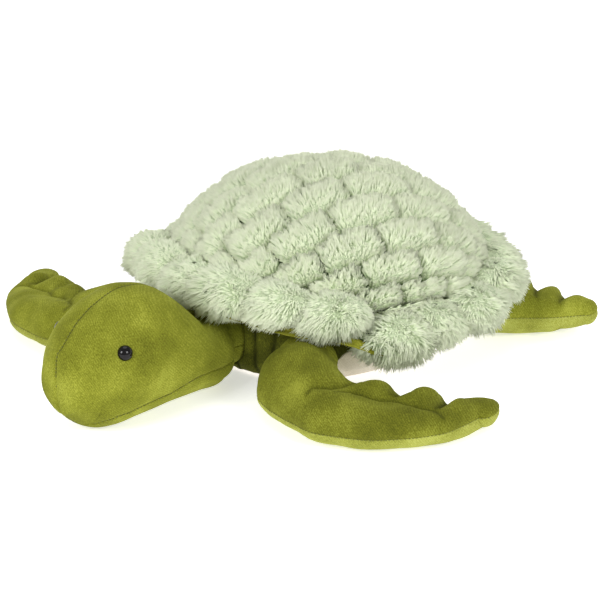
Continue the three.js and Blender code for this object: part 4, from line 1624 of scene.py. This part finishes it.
@dataclass(frozen=True)
class SewnCloth:
    """How a stuffed panel stands off its smooth form, in millimetres: seams, puckers and bumps."""

    seam_width: float
    pucker: float
    pucker_reach: float
    bump: float
    bump_size: float
    seed: int
    upright: float = 1.0
    seam_sink: float = 0.9
    pucker_size: float = 5

    def move(self, grid: Array) -> tuple[Array, Array]:
        """Works out the panel's surface.

        Args:
            grid: the smooth panel, its rows running from seam to seam.

        Returns:
            How far each point moves out, and how far it is from a seam, in metres.
        """
        start, end = along_rows(grid)
        seam = np.minimum(start, end)
        pull = np.abs(cloud(grid * [1, 1, self.upright], self.pucker_size * MM, self.seed)) - 0.4
        move = -self.seam_sink * np.exp(-((seam / (self.seam_width * MM)) ** 2))
        move -= self.pucker * pull * np.exp(-seam / (self.pucker_reach * MM))
        move += self.bump * cloud(grid, self.bump_size * MM, self.seed + 1)
        return move * MM, seam


@dataclass
class Flipper:
    """One flipper: a top and a bottom panel sewn round the edge over its filling.

    The root, its radius, the reach, the chord, the height and blunt, which is how far the tip is drawn
    out, are in millimetres. Each section gives the front edge and the back edge in the plan, and the
    heights of top, seam and underside, as shares of reach, chord and height. On the underside the
    creases are under_share as deep. The thread runs from the first of sewn_rows to the second.
    """

    name: str
    side: Side
    root: tuple[float, float, float]
    root_radius: float
    reach: float
    chord: float
    height: float
    sections: list
    tip: tuple[float, float, float]
    creases: list[Crease]
    nap: VelvetPlush
    yaw: float = 0.0
    blunt: float = 0.0
    under_share: float = 0.35
    seam_tuck: float = 1.3
    filling_inset: float = 3.6
    sewn_rows: tuple[int, int] = (86, -8)
    cloth: SewnCloth = SewnCloth(
        seam_width=2.0, pucker=0.7, pucker_reach=8, bump=0.8, bump_size=16, seed=91, upright=0.3
    )

    def rows(self) -> Array:
        """Lists the sections about the root.

        Returns:
            For each section the front edge, the back edge, and the heights of top, seam and underside.
        """
        lean = 0.4 * math.copysign(1, self.root[1])
        out = unit(np.array([1.0, lean]))
        along = np.array([out[1], -out[0]])
        rows = []
        for share in BALL_RINGS:
            radius = self.root_radius * math.cos(share * TURN)
            centre = -out * self.root_radius * math.sin(share * TURN)
            lead, trail = centre + along * radius, centre - along * radius
            rows.append([*lead, *trail, radius, 0, -radius])
        for lead_x, lead_y, trail_x, trail_y, top, seam, bottom in self.sections:
            rows.append(
                [
                    self.reach * lead_x, self.chord * lead_y, self.reach * trail_x, self.chord * trail_y,
                    self.height * top - self.root[2],
                    self.height * seam - self.root[2],
                    self.height * bottom - self.root[2],
                ]
            )
        return np.array(rows)

    def grid(self, panel: Panel) -> Array:
        """Gives one panel as a smooth grid of points, before it takes its place.

        Args:
            panel: top or bottom.

        Returns:
            The points in metres about the root, on the animal's left side.
        """
        table = self.rows()
        body = through(table, np.arange(0, len(table) - 1 + 1e-9, 1 / 16))
        tip = np.array([self.reach, self.chord, self.height]) * self.tip - [0, 0, self.root[2]]
        last = body[-1]
        middle = (last[:2] + last[2:4]) / 2
        square = unit(np.array([last[3] - last[1], last[0] - last[2]]))
        tip[:2] = middle + square * abs((tip[:2] - middle) @ square + self.blunt)
        cap = []
        for q in np.sin(np.linspace(0.05, 0.995, 26) * TURN / 4):
            keep = math.sqrt(max(1 - q * q, 0))
            centre = middle + (tip[:2] - middle) * q
            lead, trail = centre + (last[:2] - middle) * keep, centre + (last[2:4] - middle) * keep
            seam = last[5] + (tip[2] - last[5]) * q
            top, bottom = seam + (last[4] - last[5]) * keep, seam + (last[6] - last[5]) * keep
            cap.append([*lead, *trail, top, seam, bottom])
        rows = np.concatenate([body, cap])
        lead_x, lead_y, trail_x, trail_y, top, seam, bottom = (rows[:, k : k + 1] for k in range(7))
        angle = np.linspace(*panel.value, 96)[None, :]
        share, rise = (1 - np.cos(angle)) / 2, np.sin(angle)
        x = lead_x + (trail_x - lead_x) * share
        y = lead_y + (trail_y - lead_y) * share
        z = seam + rise * np.where(rise > 0, top - seam, seam - bottom)
        return np.stack([x, y, np.maximum(z, FLOOR_GAP - self.root[2])], -1) * MM

    def shaped(self, panel: Panel) -> tuple[Array, Array]:
        """Adds seams, finger grooves and puckers to a panel.

        Args:
            panel: top or bottom.

        Returns:
            The grid of points in metres about the root, and its outward directions.
        """
        grid = self.grid(panel)
        normals = grid_normals(grid)
        move, seam = self.cloth.move(grid)
        strength = 1.0 if panel is Panel.TOP else self.under_share
        calm = 1 - np.exp(-seam / (6 * MM))
        for crease in self.creases:
            move -= strength * crease.press(grid[..., :2]) * (1 if crease.fold is Fold.GROOVE else calm)
        room = 0.85 * np.abs(grid[..., 2] - grid[:, :1, 2]) + 4.0 * MM
        move = np.where(move < 0, -room * (1 - np.exp(np.minimum(move, 0) / room)), move)
        grid = grid + normals * move[..., None]
        grid[..., 2] = np.maximum(grid[..., 2], (FLOOR_GAP - self.root[2]) * MM)
        return grid, grid_normals(grid)

    def placed(self, points: Array) -> Array:
        """Turns points from the left side's own place to where this flipper is.

        Args:
            points: points about the root, on the animal's left side.

        Returns:
            The points in the frame.
        """
        turned = points.copy()
        turned[..., 0] *= self.side.value
        c, s = math.cos(self.yaw), math.sin(self.yaw)
        x, y = turned[..., 0].copy(), turned[..., 1].copy()
        turned[..., 0], turned[..., 1] = c * x - s * y, s * x + c * y
        return turned + np.array(self.root) * [self.side.value, 1, 1] * MM

    def panel(self, panel: Panel) -> None:
        """Builds one panel, its edges turned in at the seam.

        Args:
            panel: top or bottom.
        """
        grid, normals = self.shaped(panel)
        grid = tucked(grid, normals, self.seam_tuck * MM)
        faces = grid_faces(*grid.shape[:2])
        if self.side is Side.LEFT:
            faces = faces[:, ::-1]
        kind = panel.name.lower()
        piece = mesh_piece(f"{self.name}_{kind}_cloth", self.placed(grid).reshape(-1, 3), faces)
        places = tucked(self.grid(panel), normals, 0)[..., :2]
        # Painted shade along the flipper's grooves and creases
        paint_fold_shade(piece, np.maximum.reduce([crease.shade(places) for crease in self.creases]))
        # The bottom panels take the lighter olive copy, painted light from the floor below
        nap = self.nap if panel is Panel.TOP else OLIVE_PAINTED_FLOOR_LIGHT
        finish_piece(piece, nap, self.name, [f"{self.name}_{kind}"])

    def filling(self) -> None:
        """Builds the filling, held back from the cloth by the deepest place nearby."""
        inset = self.filling_inset * MM
        grids = []
        for panel in Panel:
            grid = self.shaped(panel)[0][:-10]
            middle = (grid[:, :1] + grid[:, -1:]) / 2
            reach = np.linalg.norm(grid - middle, axis=-1, keepdims=True)
            grid = middle + (grid - middle) * np.maximum(1 - inset / np.maximum(reach, 1e-6), 0)
            rise = (grid[..., 2] - middle[..., 2]) * panel.rise
            for axis, count in ((0, 5), (1, 4)):
                rise = np.minimum.reduce([shifted(rise, step, axis) for step in range(-count, count + 1)])
            grid[..., 2] = middle[..., 2] + 0.8 * np.maximum(rise, 0) * panel.rise
            found = grid_faces(*grid.shape[:2])
            grids.append((self.placed(grid), found[:, ::-1] if self.side is Side.LEFT else found))
        piece = mesh_piece(f"{self.name}_filling", *joined(grids))
        finish_piece(piece, FIBRE, self.name, [f"{self.name}_stuffing"])

    def stitches(self) -> None:
        """Sews the two panels together with a line of thread on each edge."""
        grid = self.shaped(Panel.TOP)[0][slice(*self.sewn_rows)]
        for edge, column in (("front", 0), ("back", -1)):
            path = grid[:, column]
            out = unit(path - grid.mean(1))
            turned = self.placed(path + out * MM) - self.placed(path)
            path = self.placed(path + out * 0.35 * MM)
            piece = stitch_line(f"{self.name}_{edge}_thread", path, unit(turned))
            finish_piece(piece, THREAD, self.name, [])

    def build(self) -> None:
        """Builds the flipper's pieces."""
        for panel in Panel:
            self.panel(panel)
        self.filling()
        self.stitches()


FRONT_SECTIONS = [
    (-0.10, -0.27, 0.14, 0.10, 0.87, 0.37, 0.03), (-0.045, -0.37, 0.19, 0.055, 0.92, 0.27, 0.00),
    (0.06, -0.435, 0.245, 0.02, 0.92, 0.25, 0.00), (0.22, -0.485, 0.31, -0.015, 0.85, 0.25, 0.00),
    (0.36, -0.51, 0.365, -0.02, 0.76, 0.25, 0.00), (0.47, -0.51, 0.43, 0.045, 0.70, 0.25, 0.00),
    (0.57, -0.47, 0.50, 0.135, 0.64, 0.25, 0.00), (0.66, -0.42, 0.575, 0.165, 0.60, 0.25, 0.00),
    (0.745, -0.365, 0.63, 0.27, 0.56, 0.25, 0.00), (0.82, -0.28, 0.70, 0.31, 0.53, 0.25, 0.00),
    (0.90, -0.17, 0.775, 0.315, 0.48, 0.25, 0.00), (0.96, -0.04, 0.84, 0.41, 0.45, 0.25, 0.00),
    (0.985, 0.10, 0.88, 0.465, 0.41, 0.25, 0.02), (0.985, 0.27, 0.92, 0.49, 0.37, 0.25, 0.05),
]
REAR_SECTIONS = [
    (0.22, -0.21, 0.06, 0.26, 1.02, 0.52, 0.16), (0.33, -0.19, 0.14, 0.50, 1.00, 0.50, 0.03),
    (0.45, -0.10, 0.23, 0.69, 0.94, 0.50, 0.00), (0.55, 0.02, 0.36, 0.66, 0.89, 0.49, 0.00),
    (0.66, 0.14, 0.49, 0.77, 0.83, 0.48, 0.03), (0.75, 0.25, 0.63, 0.71, 0.78, 0.47, 0.07),
    (0.84, 0.39, 0.75, 0.77, 0.74, 0.46, 0.12), (0.93, 0.54, 0.86, 0.78, 0.67, 0.45, 0.20),
]
RIGHT_FLIPPER_YAW = math.radians(19)
WRIST = ((60, -4), (63, -25), (61, -39), (52, -50), (53, -57))
PALM = ((68, -42), (70, -27), (78, -20), (91, -15), (100, -4), (126, 5), (137, 2))
FRONT_CREASES = [
    Crease(Fold.GROOVE, 13.0, 3.0, ((87, 28), (90, 12), (92, -4))),
    Crease(Fold.GROOVE, 12.0, 2.8, ((114, 48), (119, 30), (125, 9))),
    Crease(Fold.CREASE, 6.0, 2.4, WRIST),
    Crease(Fold.CREASE, 5.5, 2.4, PALM),
    Crease(Fold.SWELL, -3.5, 9.0, ((72, -10), (80, 4), (84, 10))),
    Crease(Fold.SWELL, -3.5, 8.0, ((100, 12), (106, 26), (110, 32))),
    Crease(Fold.SWELL, -2.5, 8.0, ((124, 36), (132, 26), (138, 16))),
    Crease(Fold.SWELL, 4.0, 9.0, ((60, -42), (72, -28), (85, -20), (98, -18), (108, -2), (122, 1))),
    Crease(Fold.SWELL, -5.5, 11.0, ((56, -84), (70, -64), (84, -48), (102, -44), (116, -27), (132, -20))),
]
REAR_CREASES = [
    Crease(Fold.GROOVE, 10.0, 3.0, ((34, 64), (44, 42), (56, 24))),
    Crease(Fold.GROOVE, 9.0, 2.8, ((60, 70), (66, 52), (72, 36))),
    Crease(Fold.SWELL, -2.4, 10.0, ((34, 4), (54, 14), (74, 30))),
]


@dataclass
class Head:
    """The head: two side panels that meet over the crown, a throat, and two safety eyes.

    Sizes are in millimetres. Each section gives its place along the head, its half width, its top and
    its bottom, as shares of length, half width and height. Each row of the jaw gives a place along the
    head and where the seam is there, in turns from the crown; the throat ends at chin_turn. Gathers
    counts the folds round the neck, which grow backward from gather_front and are gone by gather_back.
    The eye's stem is a list of radii and heights, from its shoulder inward.
    """

    centre: tuple[float, float, float] = (0, -124, 33)
    ball: float = 27
    length: float = 173
    half_width: float = 45.5
    height: float = 104
    crown_share: float = 0.46
    snout: float = 0.42
    jaw: list = field(
        default_factory=lambda: [
            (0.00, 0.26), (0.18, 0.25), (0.39, 0.30), (0.53, 0.335), (0.70, 0.34), (0.82, 0.352),
            (0.865, 0.375), (0.89, 0.415), (0.905, 0.5),
        ]
    )
    chin_turn: float = 0.497
    seam_tuck: float = 1.2
    eye_along: float = 0.78
    eye_turn: float = 0.17
    sections: list = field(
        default_factory=lambda: [
            (0.10, 0.78, 0.52, 0.03), (0.19, 0.90, 0.56, 0.00), (0.29, 0.98, 0.73, 0.00),
            (0.42, 1.03, 0.92, 0.00), (0.56, 1.04, 1.00, 0.00), (0.67, 1.03, 0.99, 0.00),
            (0.78, 0.96, 0.94, 0.00), (0.88, 0.80, 0.84, 0.05), (0.96, 0.50, 0.69, 0.18),
        ]
    )
    eye_radius: float = 6
    eye_dome: float = 5
    eye_sink: float = 2.4
    eye_stem: tuple = ((5.6, -0.5), (2.2, -0.8), (2.0, -1.2), (2.0, -12.0), (1.2, -13.0), (0.05, -13.0))
    eye_room: float = 12
    dimple: float = 3.2
    dimple_radius: float = 10
    gathers: float = 15
    gather_depth: float = 1.6
    gather_front: float = -172
    gather_growth: float = 34
    gather_back: float = -140
    gather_fade: float = 10
    neck_height: float = 50
    filling_inset: float = 4
    cloth: SewnCloth = SewnCloth(
        seam_width=1.6, pucker=0.5, pucker_reach=7, bump=0.7, bump_size=17, seed=101
    )

    def rows(self) -> Array:
        """Lists the rings about the neck.

        Returns:
            For each ring its place along Y, its half width, its top and its bottom, in millimetres.
        """
        rows = []
        for share in BALL_RINGS:
            radius = self.ball * math.cos(share * TURN)
            rows.append([self.ball * math.sin(share * TURN), radius, radius, -radius])
        for along, width, top, bottom in self.sections:
            high, low = (self.height * share - self.centre[2] for share in (top, bottom))
            rows.append([-self.length * along, self.half_width * width, high, low])
        table = through(np.array(rows), np.arange(0, len(rows) - 1 + 1e-9, 1 / 9))
        last = table[-1]
        tip = self.height * self.snout - self.centre[2]
        middle = last[3] + (last[2] - last[3]) * self.crown_share
        cap = []
        for q in np.sin(np.linspace(0.1, 0.985, 14) * TURN / 4):
            keep = math.sqrt(1 - q * q)
            mid = middle + (tip - middle) * q
            y = last[0] + (-self.length - last[0]) * q
            cap.append([y, last[1] * keep, mid + (last[2] - middle) * keep, mid + (last[3] - middle) * keep])
        return np.concatenate([table, cap])

    def grid(self, low: Array, high: Array, columns: int) -> Array:
        """Gives part of the head between two turns from its crown.

        Args:
            low: the first turn of each row.
            high: the last turn of each row.
            columns: how many points in a row.

        Returns:
            Points in metres in the frame.
        """
        rows = self.rows()
        share = np.linspace(0, 1, columns)[None, :]
        angle = TURN * (low[:, None] + (high - low)[:, None] * share)
        middle = rows[:, 3:4] + (rows[:, 2:3] - rows[:, 3:4]) * self.crown_share
        reach = np.where(np.cos(angle) > 0, rows[:, 2:3] - middle, middle - rows[:, 3:4])
        x = rows[:, 1:2] * np.sin(angle)
        z = np.maximum(middle + reach * np.cos(angle), FLOOR_GAP - self.centre[2])
        y = np.broadcast_to(rows[:, 0:1], x.shape)
        return (np.stack([x, y, z], -1) + np.array(self.centre)) * MM

    def jaw_turns(self) -> Array:
        """Gives where the jaw's seam is in each row, in turns from the crown; it ends at the chin."""
        places, turns = np.array(self.jaw).T
        return np.interp(-self.rows()[:, 0] / self.length, places, turns)

    def worked(self, grid: Array) -> Array:
        """Adds seams, puckers, neck gathers and the eyes' dimples to part of the head.

        Args:
            grid: points in metres in the frame.

        Returns:
            The finished grid.
        """
        normals = grid_normals(grid)
        move, _ = self.cloth.move(grid)
        along = grid[..., 1] / MM
        grown = np.clip((along - self.gather_front) / self.gather_growth, 0, 1)
        kept = np.clip((self.gather_back - along) / self.gather_fade, 0, 1)
        turn = np.arctan2(grid[..., 0], grid[..., 2] - self.neck_height * MM)
        folds = np.sin(turn * self.gathers + 2 * cloud(grid, 20 * MM, 103))
        move += self.gather_depth * MM * folds * grown * kept
        for side in Side:
            away = np.linalg.norm(grid - self.eye_place(side)[0], axis=-1)
            move -= self.dimple * MM * np.exp(-((away / (self.dimple_radius * MM)) ** 2))
        grid = grid + normals * move[..., None]
        grid[..., 2] = np.maximum(grid[..., 2], FLOOR_GAP * MM)
        return grid

    def eye_place(self, side: Side) -> tuple[Array, Array]:
        """Finds an eye's seat on the cloth.

        Args:
            side: the animal's left or right.

        Returns:
            Its place and the outward direction there.
        """
        rows = self.rows()
        turn = np.full(len(rows), self.eye_turn)
        grid = self.grid(turn - 0.01, turn + 0.01, 3)
        nearest = np.argmin(np.abs(rows[:, 0] + self.length * self.eye_along))
        out = unit(np.cross(grid[nearest, 2] - grid[nearest, 0], grid[nearest - 1, 1] - grid[nearest + 1, 1]))
        out = out * (1 if out[0] > 0 else -1)
        sign = np.array([side.value, 1, 1])
        return grid[nearest, 1] * sign, out * sign

    def cheek(self) -> Array:
        """Gives the left side panel's grid of points, from the crown's seam down to the jaw."""
        turns = self.jaw_turns()
        return self.worked(self.grid(0 * turns, turns, 90))

    def panel(self, side: Side) -> None:
        """Builds one side panel.

        Args:
            side: the animal's left or right.
        """
        grid = self.cheek()
        grid = tucked(grid, grid_normals(grid), self.seam_tuck * MM)
        faces = grid_faces(*grid.shape[:2])
        if side is Side.LEFT:
            faces = faces[:, ::-1]
        word = side.name.lower()
        piece = mesh_piece(f"head_{word}_cloth", (grid * [side.value, 1, 1]).reshape(-1, 3), faces)
        finish_piece(piece, OLIVE, "head", [f"head_panel_{word}"])

    def gusset(self) -> None:
        """Builds the throat under the jaw."""
        turns = self.jaw_turns()
        rows = np.argmax(turns > self.chin_turn)
        throat = self.worked(self.grid(turns, 1 - turns, 60)[:rows])
        grid = tucked(throat, grid_normals(throat), self.seam_tuck * MM)
        faces = grid_faces(*grid.shape[:2])[:, ::-1]
        piece = mesh_piece("head_gusset_cloth", grid.reshape(-1, 3), faces)
        finish_piece(piece, OLIVE, "head", ["head_gusset"])

    def filling(self) -> None:
        """Builds the head's filling just inside the cloth, with room behind each eye."""
        count, columns, room = len(self.rows()), 72, self.eye_room * MM
        grid = self.grid(np.zeros(count), np.full(count, 1 - 1 / columns), columns)
        grid = grid - grid_normals(grid, around=True) * self.filling_inset * MM
        for side in Side:
            eye, out = self.eye_place(side)
            away = np.linalg.norm(grid - eye, axis=-1)
            grid = grid - out * (room * np.exp(-((away / (self.dimple_radius * MM)) ** 4)))[..., None]
        faces = grid_faces(*grid.shape[:2], around=True)[:, ::-1]
        piece = mesh_piece("head_filling", grid.reshape(-1, 3), faces)
        finish_piece(piece, FIBRE, "head", ["head_stuffing"])

    def eye(self, side: Side) -> None:
        """Turns one safety eye: a polished dome, its shoulder and the stem through the cloth.

        Args:
            side: the animal's left or right.
        """
        place, out = self.eye_place(side)
        lean = np.linspace(0.02, 1, 16) * TURN / 4
        profile = [(self.eye_radius * math.sin(a), self.eye_dome * math.cos(a)) for a in lean]
        profile += self.eye_stem
        across = unit(np.cross(np.array([0, 0, 1.0]), out))
        over = np.cross(out, across)
        turn = np.linspace(0, TURN, 48, endpoint=False)[None, :, None]
        radius, height = (np.array(profile)[:, k, None, None] for k in range(2))
        ring = across * np.cos(turn) + over * np.sin(turn)
        grid = place + (ring * radius + out * (height - self.eye_sink)) * MM
        word = side.name.lower()
        faces = grid_faces(*grid.shape[:2], around=True)
        piece = mesh_piece(f"eye_{word}_button", grid.reshape(-1, 3), faces)
        finish_piece(piece, EYE_BLACK, "head", [f"eye_{word}"])

    def stitches(self) -> None:
        """Sews the face: one line of thread down the middle and one along each jaw."""
        face = self.cheek()
        normals = grid_normals(face)
        jaw, snout = slice(66, 110), slice(66, -1)
        seams = [("left_jaw", -1, jaw, 1), ("right_jaw", -1, jaw, -1), ("face", 0, snout, 1)]
        for seam, column, rows, sign in seams:
            flip = np.array([sign, 1, 1])
            path = face[rows, column] + normals[rows, column] * 0.5 * MM
            piece = stitch_line(f"head_{seam}_thread", path * flip, normals[rows, column] * flip)
            finish_piece(piece, THREAD, "head", [])

    def build(self) -> None:
        """Builds the head's pieces."""
        for side in Side:
            self.panel(side)
            self.eye(side)
        self.gusset()
        self.filling()
        self.stitches()


@dataclass
class Studio:
    """The photograph's set: white paper, soft light all round, and its camera.

    The camera stands at its distance from the pivot and looks at the target.
    """

    azimuth: float = 42.0
    elevation: float = 21.0
    distance: float = 1.7
    pivot: tuple[float, float, float] = (0, 0, 0.060)
    target: tuple[float, float, float] = (-0.005, -0.020, 0.030)
    lens: float = 120.0

    def floor(self) -> None:
        """Lays the paper, curving up far behind the toy."""
        run = np.concatenate([np.linspace(-4, 3, 8), 3 + 2 * np.sin(np.linspace(0.1, 1, 8) * TURN / 4)])
        rise = np.concatenate([np.zeros(8), 2 - 2 * np.cos(np.linspace(0.1, 1, 8) * TURN / 4)])
        points = [(x, y, z) for y, z in zip(run, rise) for x in np.linspace(-5, 5, 11)]
        piece = mesh_piece("studio_floor", np.array(points), grid_faces(16, 11))
        PAPER.dress(piece)

    def light(self, name: str, place: tuple, size: float, watts: float) -> None:
        """Hangs one square softbox that faces the toy.

        Args:
            name: the lamp's name.
            place: where it hangs, in metres.
            size: its side, in metres.
            watts: its power.
        """
        data = bpy.data.lights.new(name, "AREA")
        data.shape, data.size, data.energy = "SQUARE", size, watts
        lamp = bpy.data.objects.new(name, data)
        lamp.location = place
        lamp.rotation_euler = (Vector((0, 0, 0.05)) - Vector(place)).to_track_quat("-Z", "Y").to_euler()
        bpy.context.scene.collection.objects.link(lamp)

    def camera(self) -> None:
        """Sets up the camera where the photograph was taken."""
        turn, rise = math.radians(self.azimuth), math.radians(self.elevation)
        level = math.cos(rise)
        back = Vector((math.sin(turn) * level, -math.cos(turn) * level, math.sin(rise)))
        place = Vector(self.pivot) + back * self.distance
        data = bpy.data.cameras.new("camera")
        data.lens, data.sensor_width = self.lens, 36.0
        eye = bpy.data.objects.new("camera", data)
        eye.location = place
        eye.rotation_euler = (Vector(self.target) - place).to_track_quat("-Z", "Y").to_euler()
        bpy.context.scene.collection.objects.link(eye)
        bpy.context.scene.camera = eye

    def build(self) -> None:
        """Builds the set."""
        self.camera()
        self.floor()
        self.light("key_softbox", (0.1, -2.2, 1.25), size=0.9, watts=31)
        self.light("fill_softbox", (2.3, -0.2, 1.2), size=0.9, watts=29)
        self.light("top_softbox", (-0.3, 0.4, 2.2), size=1.6, watts=12)
        self.light("back", (-2.1, 1.1, 1.3), size=0.9, watts=11)
        world = bpy.data.worlds.new("studio_air")
        world.use_nodes = True
        air = world.node_tree.nodes["Background"]
        air.inputs["Color"].default_value = linear("#FFFFFF")
        air.inputs["Strength"].default_value = 0.35
        bpy.context.scene.world = world
        bpy.context.scene.view_settings.view_transform = "Standard"


def hidden_parts(frame: dict) -> None:
    """Dresses the CAD parts that stay: the washers and the balls of wadding in the joints.
    """
    for name, node in frame["nodes"].items():
        if "washer" in name:
            NYLON.dress(node)
        elif "wadding" in name:
            FIBRE.dress(node)


def main() -> None:
    """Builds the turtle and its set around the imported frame."""
    logging.basicConfig(level=logging.INFO, format="%(message)s")
    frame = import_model()
    plan = ShellPlan()
    Studio().build()
    Torso(plan).build()
    Shell(plan).build()
    Head().build()
    for side in Side:
        word, left = side.name.lower(), side is Side.LEFT
        Flipper(
            name=f"front_{word}_flipper",
            side=side,
            root=(87, -113, 28),
            root_radius=25,
            reach=147,
            chord=134,
            height=60,
            sections=FRONT_SECTIONS,
            tip=(0.955, 0.43, 0.25),
            creases=FRONT_CREASES,
            # The near front flipper's top takes the darker olive copy, painted shade from the rim above it
            nap=OLIVE_PAINTED_SHADE if left else OLIVE,
            yaw=0.0 if left else RIGHT_FLIPPER_YAW,
            blunt=8,
        ).build()
        Flipper(
            name=f"rear_{word}_flipper",
            side=side,
            root=(92, 84, 29),
            root_radius=20,
            reach=94,
            chord=92,
            height=46,
            sections=REAR_SECTIONS,
            tip=(0.97, 0.72, 0.45),
            creases=REAR_CREASES,
            nap=OLIVE,
        ).build()
    hidden_parts(frame)


if __name__ == "__main__":
    main()
